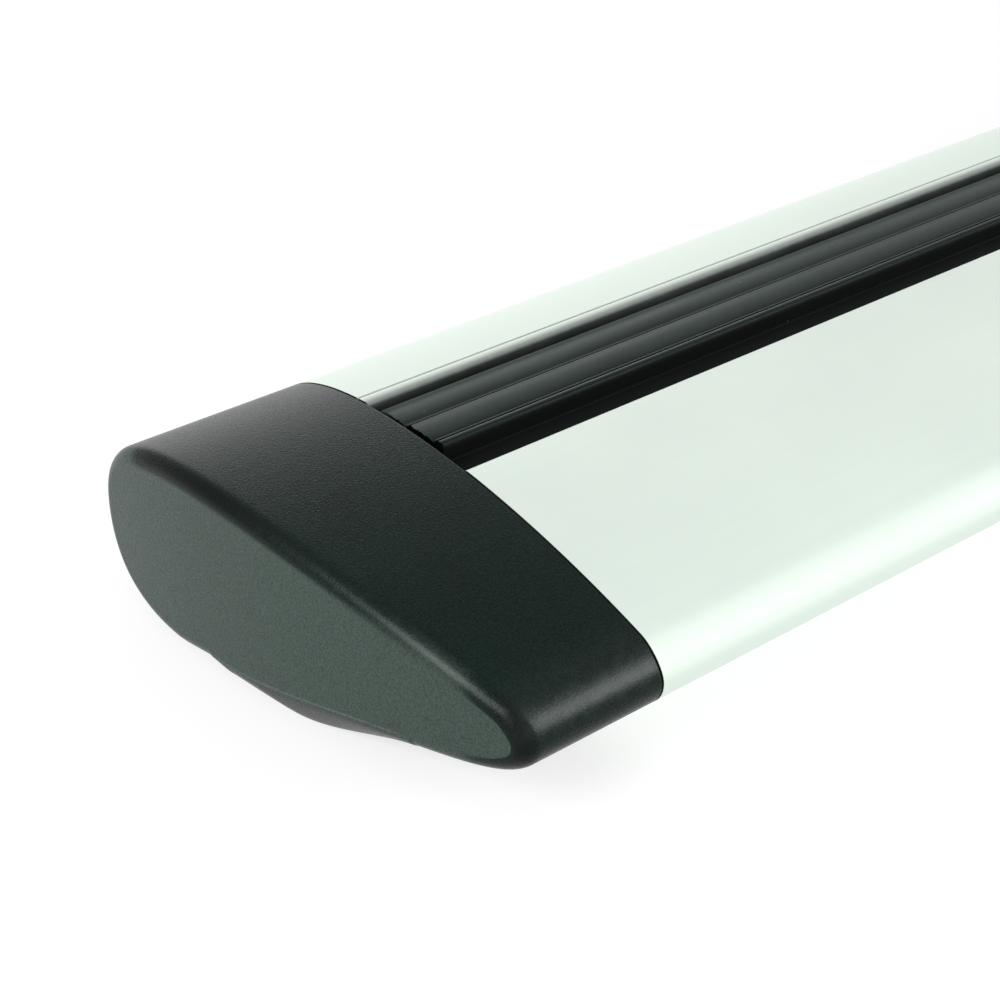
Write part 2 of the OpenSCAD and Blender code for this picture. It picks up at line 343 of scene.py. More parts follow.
    def top_z(self, y: float) -> float:
        """Finds the height of the top.

        Args:
            y: Distance from the tail nose.

        Returns:
            The height over the tail nose.
        """
        line = self.upper()
        for p, q in zip(line, line[1:]):
            if p.x <= y <= q.x:
                return p.y + (q.y - p.y) * (y - p.x) / (q.x - p.x)
        return line[-1].y


def inward(ring: Chain) -> Chain:
    """Finds the direction into the material at each point of a clockwise ring.

    Args:
        ring: A closed ring of section points.

    Returns:
        One unit vector for each point.
    """
    count = len(ring)
    result = []
    for i in range(count):
        way = (ring[(i + 1) % count] - ring[i - 1]).normalized()
        result.append(yz(way.y, -way.x))
    return result


def clipped(line: Chain, low: float, high: float) -> Chain:
    """Keeps a line between two distances from the tail nose, with points on both.

    Args:
        line: Points of steadily growing or falling y.
        low: The smaller distance.
        high: The larger distance.

    Returns:
        The clipped line in its own order.
    """
    kept: Chain = []
    for p, q in zip(line, line[1:]):
        cuts = sorted(
            (edge - p.x) / (q.x - p.x)
            for edge in (low, high)
            if abs(q.x - p.x) > 1e-9 and min(p.x, q.x) < edge < max(p.x, q.x)
        )
        if low <= p.x <= high:
            kept.append(p)
        kept.extend(p.lerp(q, t) for t in cuts)
    return kept


class Shape:
    """Collects points and faces in bar millimetres.

    Each point has a wear value, from 0 to 1, and a tone, from -1 where painted shade darkens its
    colour to 1 where painted light makes it lighter.
    """

    def __init__(self) -> None:
        """Starts an empty shape."""
        self.mesh = bmesh.new()
        self.wear = self.mesh.verts.layers.float.new("wear")
        self.tone = self.mesh.verts.layers.float.new("tone")

    def point(self, x: float, at: Vector, wear: float = 0.0,
              tone: float = 0.0) -> bmesh.types.BMVert:
        """Adds a point.

        Args:
            x: Distance from the bar's left metal end.
            at: The section point.
            wear: How exposed the point is to rubbing, from 0 to 1.
            tone: How much painted shade or painted light it has, from -1 to 1.

        Returns:
            The new point.
        """
        vert = self.mesh.verts.new((x, at.x, at.y))
        vert[self.wear] = wear
        vert[self.tone] = tone
        return vert

    def loft(self, rows: list[Ring]) -> None:
        """Closes neighbouring rings of equal length with four-sided faces."""
        for near, far in zip(rows, rows[1:]):
            count = len(near)
            for i in range(count):
                j = (i + 1) % count
                self.mesh.faces.new((near[i], far[i], far[j], near[j]))

    def extrude(self, ring: Chain, xs: list[float], wear: list[float] | None = None,
                tone: list[float] | None = None) -> list[Ring]:
        """Runs a ring along the bar.

        Args:
            ring: Closed ring of section points.
            xs: Distances along the bar at which it gets points.
            wear: A wear value for each ring point.
            tone: A tone for each ring point.

        Returns:
            The rows of points, one for each distance.
        """
        plain = [0.0] * len(ring)
        dress = list(zip(ring, wear or plain, tone or plain))
        rows = [[self.point(x, p, w, t) for p, w, t in dress] for x in xs]
        self.loft(rows)
        return rows

    def close(self, rings: list[Ring], facing: Facing) -> None:
        """Fills a flat end that has an outer ring and perhaps holes.

        Args:
            rings: The rings of points around the end.
            facing: Direction that the end faces.
        """
        edges = [
            self.mesh.edges.get((ring[i - 1], ring[i])) for ring in rings for i in range(len(ring))
        ]
        bmesh.ops.triangle_fill(
            self.mesh, edges=edges, use_beauty=True, use_dissolve=False, normal=facing.value
        )

    def close_ends(self, *runs: list[Ring]) -> None:
        """Fills both ends of an extruded piece.

        Args:
            runs: The rows of its outer skin, then those of each hollow.
        """
        self.close([rows[0] for rows in runs], Facing.LEFT)
        self.close([rows[-1] for rows in runs], Facing.RIGHT)

    def finish(self, name: str, sharp_deg: float = 32.0) -> bpy.types.Mesh:
        """Turns the shape into a mesh in metres with outward faces.

        Args:
            name: Name of the mesh.
            sharp_deg: Angle above which an edge stays sharp.

        Returns:
            The mesh.
        """
        bmesh.ops.recalc_face_normals(self.mesh, faces=self.mesh.faces[:])
        mesh = bpy.data.meshes.new(name)
        self.mesh.to_mesh(mesh)
        self.mesh.free()
        mesh.transform(Matrix.Scale(MM, 4))
        mesh.shade_smooth()
        mesh.set_sharp_from_angle(angle=math.radians(sharp_deg))
        return mesh


@dataclass(frozen=True)
class Screw:
    """Countersunk cap screw with a hexagon socket; it lies head down, its head's face at z = 0."""

    head_d: float = 6.8
    head_h: float = 1.6
    shank_d: float = 3.5
    shank_l: float = 6.0
    socket_w: float = 2.9
    socket_h: float = 1.6
    along: float = 10.0
    sunk: float = 0.25
    play: float = 0.05
    around: int = 48
    soft: float = 0.12
    socket_foot: float = 0.96
    socket_mouth: float = 1.07
    face_share: float = 0.8
    rim_w: float = 0.25
    tip_soft: float = 0.5

    def ring(self, shape: Shape, radius: float, z: float, wear: float = 0.0,
             hexagon: bool = False) -> Ring:
        """Adds a ring of points around the screw's axis.

        Args:
            shape: The shape that gets the points.
            radius: Radius of the ring, up to a hexagon's corners.
            z: Height of the ring.
            wear: Wear value of its points.
            hexagon: Whether the ring has six sides instead of being round.

        Returns:
            The ring's points, as many for a hexagon as for a round one.
        """
        row = []
        for i in range(self.around):
            turn = 2 * math.pi * i / self.around
            reach = radius
            if hexagon:
                off = (turn % (math.pi / 3)) - math.pi / 6
                reach = radius * math.cos(math.pi / 6) / math.cos(off)
            row.append(shape.point(reach * math.cos(turn), yz(reach * math.sin(turn), z), wear))
        return row

    def build(self, name: str) -> bpy.types.Mesh:
        """Builds the screw around its own axis.

        Args:
            name: Name of the mesh.

        Returns:
            The mesh in metres.
        """
        shape = Shape()
        head, shank, socket = self.head_d / 2, self.shank_d / 2, self.socket_w / 2
        length = self.head_h + self.shank_l
        rows = [
            self.ring(shape, socket * self.socket_foot, self.socket_h, hexagon=True),
            self.ring(shape, socket, self.socket_h - self.soft, hexagon=True),
            self.ring(shape, socket, self.soft, hexagon=True),
            self.ring(shape, socket * self.socket_mouth, 0.0, hexagon=True),
            self.ring(shape, head * self.face_share, 0.0),
            # the head's rounded and rubbed rim, in three rings
            self.ring(shape, head - self.rim_w, 0.0, 0.6),
            self.ring(shape, head - 0.07, 0.05, 1.0),
            self.ring(shape, head, 0.16, 0.6),
            self.ring(shape, (head + shank) / 2, self.head_h / 2 + 0.05),
            self.ring(shape, shank, self.head_h),
            self.ring(shape, shank, length - self.tip_soft),
            self.ring(shape, shank - self.tip_soft, length),
        ]
        shape.loft(rows)
        shape.close([rows[-1]], Facing.UP)
        socket_tip = shape.mesh.verts.new((0, 0, self.socket_h + 0.5))
        for i in range(self.around):
            shape.mesh.faces.new((rows[0][i - 1], rows[0][i], socket_tip))
        return shape.finish(name)

    def cutter(self, name: str) -> bpy.types.Mesh:
        """Builds the form that cuts the screw's hole, a little larger than the screw.

        Args:
            name: Name of the mesh.

        Returns:
            The mesh in metres, around the screw's own axis.
        """
        shape = Shape()
        head, shank = self.head_d / 2 + self.play, self.shank_d / 2 + self.play
        rows = [
            self.ring(shape, head + self.rim_w, -1.0),
            self.ring(shape, head + self.rim_w, -self.sunk - 0.02),
            self.ring(shape, head, 0.1 - self.sunk),
            self.ring(shape, head, 0.05),
            self.ring(shape, shank, self.head_h),
            self.ring(shape, shank, self.head_h + self.shank_l + self.play),
        ]
        shape.loft(rows)
        shape.close([rows[0]], Facing.DOWN)
        shape.close([rows[-1]], Facing.UP)
        return shape.finish(name)


@dataclass(frozen=True)
class Extrusion:
    """The hollow metal bar: outer skin, top slot, lower channel and inner chambers.

    The cuts are the distances from either end at which the skin has points. The last five values
    paint shade beside the slot's leading lip as a dark smear: its width, how dark it is at the lip
    and how it fades.
    """

    section: Section
    screw: Screw
    length: float = 1140.0
    cuts: tuple[float, ...] = (0.0, 0.06, 0.16, 4.0, 16.0, 60.0)
    sharp_deg: float = 28.0
    corner_r: float = 0.15
    mouth_r: float = 0.3
    mouth_run: float = 2.0
    lip_points: int = 14
    apart: float = 0.05
    lip_in: float = 0.6
    wear_reach: float = 0.7
    line_guard: float = 0.05
    line_dark: float = 0.3
    lip_fade: float = 1.6
    lip_shade_w: float = 2.1
    lip_shade_most: float = 0.95
    lip_shade_start: float = 1.08
    lip_shade_fall: float = 0.95
    lip_shade_tail: float = 0.386

    def slot_line(self) -> Chain:
        """Draws the top slot's walls from the tail's lip to the leading lip.

        Returns:
            The points, with both rounded lips and the fine line beside the leading one.
        """
        s = self.section
        near, far = s.slot_near - s.lip_r, s.slot_far + s.lip_r
        half = s.slot_in_w / 2
        near_z, far_z = s.top_z(near) - s.lip_r, s.top_z(far) - s.lip_r
        walls = [
            yz(s.slot_near, near_z), yz(s.slot_near, s.slot_roof),
            yz(s.slot_y - half, s.slot_roof), yz(s.slot_y - half, s.slot_floor),
            yz(s.slot_y + half, s.slot_floor), yz(s.slot_y + half, s.slot_roof),
            yz(s.slot_far, s.slot_roof), yz(s.slot_far, far_z),
        ]
        at, half_w = s.slot_far + s.line_set, s.line_w / 2
        rim = [yz(at + off, s.top_z(at + off))
               for off in (-half_w - self.line_guard, -half_w, half_w, half_w + self.line_guard)]
        bottom = [yz(at + off, s.top_z(at) - s.line_h) for off in (-half_w / 2, half_w / 2)]
        return (
            arc(yz(near, near_z), s.lip_r, 90, 0, self.lip_points)[:-1]
            + softened(walls, self.corner_r, 2)
            + arc(yz(far, far_z), s.lip_r, 180, 90, self.lip_points)[1:]
            + [p for p in s.upper() if far + self.apart < p.x < rim[0].x - self.apart]
            + rim[:2] + bottom + rim[2:]
        )

    def channel_line(self) -> Chain:
        """Draws the lower channel's walls, from its leading mouth edge to its tail one."""
        s = self.section
        roof = s.chan_floor + s.chan_in_h
        mouth, inner = s.chan_w / 2, s.chan_in_w / 2
        corners = both_sides(s.hump_y, [
            (mouth + self.mouth_run, -s.base_h), (mouth, -s.base_h), (mouth, s.chan_floor),
            (inner, s.chan_floor), (inner, roof),
        ])
        return softened(corners, self.mouth_r)[1:-1]

    def skin(self) -> Chain:
        """Draws the bar's outer ring with the slot and the channel in it."""
        s = self.section
        near = s.slot_near - s.lip_r
        line = s.slot_far + s.line_set + s.line_w / 2 + self.line_guard
        upper = s.upper()
        lead_end, _, tail_side = s.hump_low()
        return (
            [p for p in upper if p.x < near - self.apart]
            + self.slot_line()
            + [p for p in upper if p.x > line + self.apart]
            + s.lead_low() + s.base_rise() + lead_end + [s.hump_lead]
            + self.channel_line()
            + tail_side + s.tail_low()
        )

    def chambers(self) -> list[Chain]:
        """Draws the inner chambers: tail, leading and the one over the lower channel."""
        s = self.section
        outline = s.outline()
        inner = [p + s.wall * way for p, way in zip(outline, inward(outline))]
        crown = max(range(len(inner)), key=lambda i: inner[i].x)
        first = min(range(len(inner)), key=lambda i: inner[i].x)
        top = inner[:crown] if first > crown else inner[first:crown]
        low = inner[crown:]
        half = s.slot_in_w / 2 + s.web
        shelf = s.slot_floor - s.web
        house = s.chan_in_w / 2 + s.web
        tail = (
            clipped(top, s.tail_solid, s.slot_y - half)
            + [yz(s.slot_y - half, shelf), yz(s.hump_y - house, shelf)]
            + clipped(low, s.tail_solid, s.hump_y - house)
        )
        lead = (
            clipped(top, s.slot_y + half, s.width)
            + clipped(low, s.hump_y + house, s.width)
            + [yz(s.hump_y + house, shelf), yz(s.slot_y + half, shelf)]
        )
        roof = s.chan_floor + s.chan_in_h + s.web
        middle = [
            yz(s.hump_y - house + s.web, shelf), yz(s.hump_y + house - s.web, shelf),
            yz(s.hump_y + house - s.web, roof), yz(s.hump_y - house + s.web, roof),
        ]
        return [tail, lead, middle]

    def wear(self, ring: Chain) -> list[float]:
        """Says how rubbed each point of the outer ring is: most on the slot's lips.

        Args:
            ring: The outer ring.

        Returns:
            A value from 0 to 1 for each point.
        """
        s = self.section
        spots = [
            yz(s.slot_near - self.lip_in, s.top_z(s.slot_near) - self.lip_in),
            yz(s.slot_far + self.lip_in, s.top_z(s.slot_far) - self.lip_in),
            yz(s.hump_y + s.chan_w / 2, -s.base_h), yz(s.hump_y - s.chan_w / 2, -s.base_h),
        ]
        return [
            max(math.exp(-(((p - spot).length / self.wear_reach) ** 2)) for spot in spots)
            for p in ring
        ]

    def tone(self, ring: Chain) -> list[float]:
        """Says where painted shade darkens the outer ring: in the slot, beside the leading lip and
        in the fine line.

        Args:
            ring: The outer ring.

        Returns:
            A tone from -1 to 0 for each point.
        """
        s = self.section
        line_at = s.slot_far + s.line_set
        tones = []
        for p in ring:
            dark = 0.0
            # painted shade in the fine line's groove
            if p.y > 0 and abs(p.x - line_at) < s.line_w / 2 + 0.4 * self.line_guard:
                dark = self.line_dark
            # painted shade inside the slot, fading out over the tail lip's rounding
            elif p.y > s.slot_floor - 0.1 and s.slot_near - s.lip_r < p.x <= s.slot_far:
                over = max(s.slot_near - p.x, 0.0) / s.lip_r
                dark = (1 - over) ** self.lip_fade if p.y > s.slot_roof + 0.2 else 1.0
            # painted shade beside the leading lip, falling off away from it
            elif p.y > 0 and s.slot_far < p.x < s.slot_far + self.lip_shade_w:
                off = p.x - s.slot_far
                painted_shade = self.lip_shade_start - self.lip_shade_fall * off
                dark = min(self.lip_shade_most, max(painted_shade, self.lip_shade_tail * (self.lip_shade_w - off)))
            tones.append(-dark)
        return tones

    def build(self, name: str) -> bpy.types.Mesh:
        """Builds the extrusion without its screw holes.

        Args:
            name: Name of the mesh.

        Returns:
            The mesh in metres.
        """
        shape = Shape()
        ring = self.skin()
        xs = stations(self.cuts, self.length)
        outer = shape.extrude(ring, xs, self.wear(ring), self.tone(ring))
        # painted shade in the joints with the caps makes the skin's last rings dark
        for vert in outer[0] + outer[1] + outer[-2] + outer[-1]:
            vert[shape.tone] = -1.0
        inner = [shape.extrude(hole, [0.0, self.length]) for hole in self.chambers()]
        shape.close_ends(outer, *inner)
        return shape.finish(name, self.sharp_deg)

    def drilled(self, name: str) -> bpy.types.Mesh:
        """Builds the extrusion with a countersunk hole near each end.

        Args:
            name: Name of the mesh.

        Returns:
            The mesh in metres.
        """
        blank = self.build(f"{name}_blank")
        body = bpy.data.objects.new(blank.name, blank)
        bpy.context.scene.collection.objects.link(body)
        cutters = []
        for i, along in enumerate((self.screw.along, self.length - self.screw.along)):
            cutter = bpy.data.objects.new(f"cutter_{i}", self.screw.cutter(f"cutter_{i}"))
            height = self.screw.sunk - self.section.base_h
            cutter.location = MM * Vector((along, self.section.base_y, height))
            bpy.context.scene.collection.objects.link(cutter)
            cut = body.modifiers.new("screw_hole", "BOOLEAN")
            cut.object, cut.operation, cut.solver = cutter, "DIFFERENCE", "EXACT"
            cutters.append(cutter)
        graph = bpy.context.evaluated_depsgraph_get()
        mesh = bpy.data.meshes.new_from_object(body.evaluated_get(graph))
        for spare in cutters + [body]:
            spare_mesh = spare.data
            bpy.data.objects.remove(spare)
            bpy.data.meshes.remove(spare_mesh)
        mesh.name = name
        mesh.set_sharp_from_angle(angle=math.radians(self.sharp_deg))
        return mesh


@dataclass(frozen=True)
class TopStrip:
    """The ribbed rubber strip in the top slot: two waved bands, a ridge and a trough.

    The first band is the leading one. The rag is how rough the end cuts are. The values after the
    rag ones paint sheen on the bands, as light falls on them, and say how it starts and ends
    across each band; the last two paint shade in the grooves and trough.
    """

    section: Section
    length: float = 1140.0
    cuts: tuple[float, ...] = (1.0, 4.2, 7.0, 40.0)
    sharp_deg: float = 40.0
    clear: float = 0.3
    end_gap: float = 1.55
    end_gap_more: float = 1.25
    end_gap_w: float = 17.0
    drop: float = 1.3
    band_one_w: float = 5.3
    band_two_w: float = 4.8
    groove_w: float = 0.8
    groove_h: float = 0.9
    ridge_w: float = 1.3
    trough_h: float = 3.0
    thick: float = 2.0
    foot_t: float = 2.4
    edge_w: float = 0.2
    edge_soft: float = 0.12
    trough_soft: float = 0.3
    side_soft: float = 0.15
    leg_soft: float = 0.25
    band_rise: float = 0.06
    band_fall: float = 0.32
    band_one_bend: float = 2.2
    band_two_bend: float = 1.1
    band_steps: int = 14
    bead_set: float = 0.12
    bead_w: float = 0.24
    bead_h: float = 0.12
    bead_bow: float = 0.06
    bead_ditch: float = 0.35
    slant: float = 0.04
    ridge_in: float = 0.2
    trough_out: float = 1.6
    rag: float = 0.26
    rag_step: float = 0.5
    rag_pull: float = 0.6
    painted_sheen: float = 0.36
    sheen_top: float = 0.35
    sheen_one_fall: float = 3.5
    sheen_one_end: float = 1.6
    sheen_two_start: float = 0.18
    sheen_two_end: float = 1.1
    dark_depth: float = 0.45
    dark_fade: float = 0.25

    def band(self, start: float, stop: float, top: float, power: float) -> Chain:
        """Draws one waved band: it rises gently from its leading edge and falls to its tail edge.

        Args:
            start: Distance of its leading edge.
            stop: Distance of its tail edge.
            top: Height of the band's highest line.
            power: How late the band bends down: the higher, the longer it stays flat.

        Returns:
            The points in order, both edges included.
        """
        count = self.band_steps
        turn = self.band_rise + self.band_fall
        width = start - stop
        crest_t = (self.band_rise / turn) ** (1 / power)

        def height(t: float) -> float:
            """Gives the height at share t of the width over the leading edge."""
            return width * (self.band_rise * t - turn * t ** (power + 1) / (power + 1))

        return [
            yz(start - width * i / count, top - height(crest_t) + height(i / count))
            for i in range(count + 1)
        ]

    def groove(self, start: float, stop: float, top: float) -> Chain:
        """Draws one narrow groove with a fine bead beside its leading edge.

        Args:
            start: Distance of its leading edge.
            stop: Distance of its tail edge.
            top: Height of the bands' highest line.

        Returns:
            The points in order.
        """
        floor, half = top - self.groove_h, self.bead_w / 2
        middle = start - self.bead_set - half
        crest = [yz(middle + off * half, top - self.bead_h - self.bead_bow * off * off)
                 for off in (1.0, 0.5, 0.0, -0.5, -1.0)]
        return (
            [yz(start - self.slant, top - self.bead_h - self.bead_ditch),
             yz(middle + half + self.slant / 2, crest[0].y - 0.1)]
            + crest
            + [yz(middle - half - self.slant, floor), yz(stop + 2 * self.slant, floor)]
        )

    def tone(self, ring: Chain) -> list[float]:
        """Says where the strip gets painted shade or painted sheen.

        Grooves, trough and hidden sides get painted shade, the ridge a painted highlight that
        falls into shade, and the painted sheen on the bands fades towards each band's tail.

        Args:
            ring: The closed ring of points.

        Returns:
            A tone from -1 to 1 for each point.
        """
        top = self.section.crest_h - self.drop
        one = self.section.slot_far - self.clear
        two = one - self.band_one_w - self.groove_w
        ridge = two - self.band_two_w - self.groove_w + self.ridge_in
        tones = []
        for p in ring:
            # painted shade on every point deeper than dark_depth under the bands' top
            tone = -clamped((top - p.y - self.dark_depth) / self.dark_fade)
            lit = tone == 0.0
            share_one, share_two = (one - p.x) / self.band_one_w, (two - p.x) / self.band_two_w
            # painted highlight on the ridge's crest, falling into painted shade on its tail side
            if ridge - self.ridge_w <= p.x <= ridge - 0.07 and p.y > top - 1.2:
                over = min(1.0, (ridge - p.x) / self.ridge_w) ** 3
                tone = self.sheen_top - (1 + self.sheen_top) * over
            # painted sheen, brightest at each band's leading side and fading towards its tail, and
            # on other lit faces
            elif lit and 0 <= share_one < 0.999:
                end = self.painted_sheen * min(1.0, self.sheen_one_end * (1 - share_one))
                tone = max(1.0 - self.sheen_one_fall * share_one, end)
            elif lit and 0.001 < share_two < 0.999:
                end = self.sheen_two_end * (1 - share_two)
                tone = self.painted_sheen * min(share_two / self.sheen_two_start, end)
            elif lit:
                tone = self.sheen_top
            tones.append(tone)
        return tones

    def ring(self) -> Chain:
        """Draws the strip's section.

        Returns:
            The closed ring of points.
        """
        s = self.section
        far, near = s.slot_far - self.clear, s.slot_near + self.clear
        top = s.crest_h - self.drop
        low = top - self.trough_h
        one = far - self.band_one_w
        two = one - self.groove_w
        three = two - self.band_two_w
        ridge = three - self.groove_w + self.ridge_in
        ridge_end = ridge - self.ridge_w
        foot = s.slot_in_w / 2 - self.clear
        foot_z = s.slot_floor + self.foot_t
        cup = low - self.thick
        edge = far - self.edge_w
        trough = near + self.trough_out
        shoulder = [yz(far, foot_z), yz(far, top - 0.25), yz(edge, top - 0.04)]
        valley = [yz(ridge_end - 0.02, top - 1.4), yz(ridge_end - 0.1, low), yz(trough, low)]
        side = [
            yz(trough, low), yz(near + 0.1, low + 0.15), yz(near, low - 0.2), yz(near, foot_z),
        ]
        head = (
            softened(shoulder, self.edge_soft)[:-1]
            + self.band(edge, one, top, self.band_one_bend)
            + self.groove(one, two, top)
            + self.band(two, three, top, self.band_two_bend)
            + self.groove(three, ridge, top)
            + curve(
                yz(ridge - 0.08, top - 0.2), yz(ridge - 0.4, top + 0.1),
                yz(ridge_end + 0.1, top + 0.05), yz(ridge_end, top - 1.1), 12,
            )
            + softened(valley, self.trough_soft, 4)[:-1]
            + softened(side, self.side_soft, 2)
        )
        legs = [
            yz(near, foot_z), yz(s.slot_y - foot, foot_z), yz(s.slot_y - foot, s.slot_floor),
            yz(near + self.thick, s.slot_floor), yz(near + self.thick, cup),
            yz(far - self.thick, cup), yz(far - self.thick, s.slot_floor),
            yz(s.slot_y + foot, s.slot_floor), yz(s.slot_y + foot, foot_z), yz(far, foot_z),
        ]
        return head[:-1] + softened(legs, self.leg_soft, 2)[:-1]

    def build(self, name: str, seed: int) -> bpy.types.Mesh:
        """Builds the strip with its roughly cut ends.

        Args:
            name: Name of the mesh.
            seed: Seed of the two cuts.

        Returns:
            The mesh in metres.
        """
        shape = Shape()
        ring = self.ring()
        rows = shape.extrude(ring, stations(self.cuts, self.length), tone=self.tone(ring))
        draw = random.Random(seed)
        for row, way, start in ((rows[0], 1, 0.0), (rows[-1], -1, self.length)):
            last, rag = row[0].co.copy(), 0.0
            for vert in row:
                stride = min((vert.co - last).length / self.rag_step, 1.0)
                rag += stride * (draw.uniform(-self.rag, self.rag) - self.rag_pull * rag)
                last = vert.co.copy()
                share = clamped((self.section.slot_far - vert.co.y) / self.end_gap_w)
                vert.co.x = start + way * (self.end_gap + self.end_gap_more * share + rag)
        shape.close_ends(rows)
        return shape.finish(name, self.sharp_deg)


@dataclass(frozen=True)
class LowerStrip:
    """The plain rubber strip that closes the lower channel."""

    section: Section
    length: float = 1140.0
    clear: float = 0.3
    end_gap: float = 1.0
    end_cut: float = 0.2
    head_t: float = 2.2
    recess: float = 0.4
    soft: float = 0.18
    line_w: float = 2.4
    line_floor_w: float = 1.6
    line_h: float = 0.35

    def build(self, name: str) -> bpy.types.Mesh:
        """Builds the strip.

        Args:
            name: Name of the mesh.

        Returns:
            The mesh in metres.
        """
        s = self.section
        head, neck = s.chan_in_w / 2 - self.clear, s.chan_w / 2 - self.clear
        roof, face = s.chan_floor + self.head_t, self.recess - s.base_h
        corners = both_sides(s.hump_y, [
            (0, roof), (head, roof), (head, s.chan_floor), (neck, s.chan_floor), (neck, face),
            (self.line_w / 2, face), (self.line_floor_w / 2, face + self.line_h),
        ])
        shape = Shape()
        xs = stations((self.end_gap, self.end_gap + self.end_cut), self.length)
        shape.close_ends(shape.extrude(softened(corners, self.soft)[:-1], xs))
        return shape.finish(name)


@dataclass(frozen=True)
class SkinPoint:
    """One point of the cap's outer line, with what the edge and the finish do there.

    The shares go from 0 to 1. Hump says how far the edge is the hump's long soft one, nose how
    rubbed the point is, tip and lead how near it is to the tail nose and to the leading side,
    and front how far it lies round the leading nose. Tip, lead and front place the painted shade
    and painted light on the rounded edge.
    """

    at: Vector
    way: Vector
    on_top: bool
    set_back: float
    move: Vector
    hump: float
    nose: float
    tip: float
    lead: float
    front: float

    @property
    def shade(self) -> float:
        """Gives the share of painted shade on the rounded edge."""
        return self.lead * (1 - self.front)


@dataclass(frozen=True)
class EndCap:
    """The moulded left end cap: rounded skin, soft hump below, hollow inside, and plugs.

    The nose, tip, lead and front values say where the shares of those names in SkinPoint begin
    or end and over which width they fade, and nose_low and nose_high are heights. Cuts are the
    distances before the rounded edge at which the plain skin has points. The end face, the crease
    and the rounded edge get painted light and painted shade.
    """

    section: Section
    length: float = 29.6
    plan_r: float = 250.0
    plan_y: float = 63.0
    edge_r: float = 2.2
    edge_steps: int = 12
    hump_set: float = 2.6
    hump_soft: float = 0.8
    crease_h: float = 1.8
    crease_dip_pull: tuple[float, float] = (-8.0, 0.8)
    crease_tail_pull: tuple[float, float] = (13.0, 0.3)
    rim_r: float = 0.28
    cuts: tuple[float, float] = (4.0, 1.2)
    sharp_deg: float = 40.0
    wall: float = 2.5
    hollow_more: float = 2.0
    floor_more: float = 1.0
    floor_least: float = 2.0
    plug_root: float = -3.0
    plug_floor: float = 1.0
    plug_l: float = 20.0
    plug_tip: float = 0.5
    plug_taper: float = 0.25
    plug_wall: float = 2.0
    plug_clear: float = 0.25
    nose_w: float = 8.0
    nose_low: float = 2.2
    nose_high: float = 3.2
    tip_end: float = 10.0
    tip_fade: float = 7.0
    lead_start: float = 14.0
    lead_fade: float = 38.0
    front_start: float = 68.0
    front_fade: float = 5.0
    front_bow: float = 0.75
    # painted light of the end face, painted highlight and glint along the hump's crease, painted
    # shade on the hump's edge
    face_light: float = 0.5
    crease_highlight: float = 0.9
    glint: float = 0.45
    hump_shade: float = 0.25
    top_rub: float = 0.6
    # how far into the end face the edge's painted shade fades
    dark_in: float = 0.6

    def end_x(self, y: float) -> float:
        """Finds where the curved end face lies.

        Args:
            y: Distance from the tail nose.

        Returns:
            Distance along the bar, below 0 because the cap lies before the metal.
        """
        return self.plan_r - self.length - math.sqrt(self.plan_r**2 - (y - self.plan_y) ** 2)

    def skin_line(self) -> Chain:
        """Draws the cap's outer line, which is the bar's and never below its flat underside."""
        return [yz(p.x, max(p.y, -self.section.base_h)) for p in self.section.outline()]

    def crease(self, count: int) -> Chain:
        """Draws the crease over the hump on the end face.

        Args:
            count: Number of points.

        Returns:
            The points from the dip towards the tail.
        """
        dip, tail = self.section.dip, yz(*self.section.hump_tail)
        lift = yz(0, self.crease_h)
        first, second = yz(*self.crease_dip_pull), yz(*self.crease_tail_pull)
        return curve(dip + lift, dip + first, tail + second, tail + lift, count)

    def points(self) -> list[SkinPoint]:
        """Works out the points of the outer line.

        Returns:
            The points, clockwise from the tail nose.
        """
        s = self.section
        top_count = len(s.upper())
        start = top_count + len(s.lead_low()) + len(s.base_rise())
        count = sum(len(part) for part in s.hump_low())
        crease = self.crease(count)
        points = []
        for i, (at, way) in enumerate(zip(self.skin_line(), inward(s.outline()))):
            k = i - start
            in_hump = 0 <= k < count
            hump = math.sin(math.pi * k / count) if in_hump else 0.0
            points.append(SkinPoint(
                at=at, way=way, on_top=i < top_count,
                set_back=self.edge_r + hump * (self.hump_set - self.edge_r),
                move=crease[k] - at if in_hump else self.edge_r * way,
                hump=hump,
                nose=self.nose_wear(at),
                tip=clamped((self.tip_end - at.x) / self.tip_fade),
                lead=clamped((at.x - self.lead_start) / self.lead_fade),
                front=clamped((at.x - self.front_start) / self.front_fade),
            ))
        return points

    def nose_wear(self, point: Vector) -> float:
        """Says how smooth the tail nose is rubbed: most on its upper side.

        Args:
            point: A point of the cap's outer line.

        Returns:
            A value from 0 to 1.
        """
        if point.x > self.nose_w or point.y < 0:
            return 0.0
        over = max(0.0, point.y - self.nose_high) / self.nose_high
        return min(1.0, point.y / self.nose_low) * max(0.0, 1 - over)

    def rim_rows(self, shape: Shape, points: list[SkinPoint]) -> list[Ring]:
        """Adds the softened rim at the joint, with painted shade, and the plain skin up to the
        rounded edge.

        Args:
            shape: The shape that gets the points.
            points: The outer line's points.

        Returns:
            The rows of points.
        """
        r = self.rim_r
        # the first three rings get painted shade, for the dark joint gap
        rows = [
            [shape.point(-depth, p.at + in_by * p.way, p.nose, tone) for p in points]
            for depth, in_by, tone in (
                (0.0, r, -1.0), (0.05, 0.4 * r, -1.0), (r, 0.0, -0.9), (r + 0.1, 0.0, 0.0),
            )
        ]
        for before in self.cuts:
            rows.append([
                shape.point(self.end_x(p.at.x) + p.set_back + before, p.at, p.nose) for p in points
            ])
        return rows

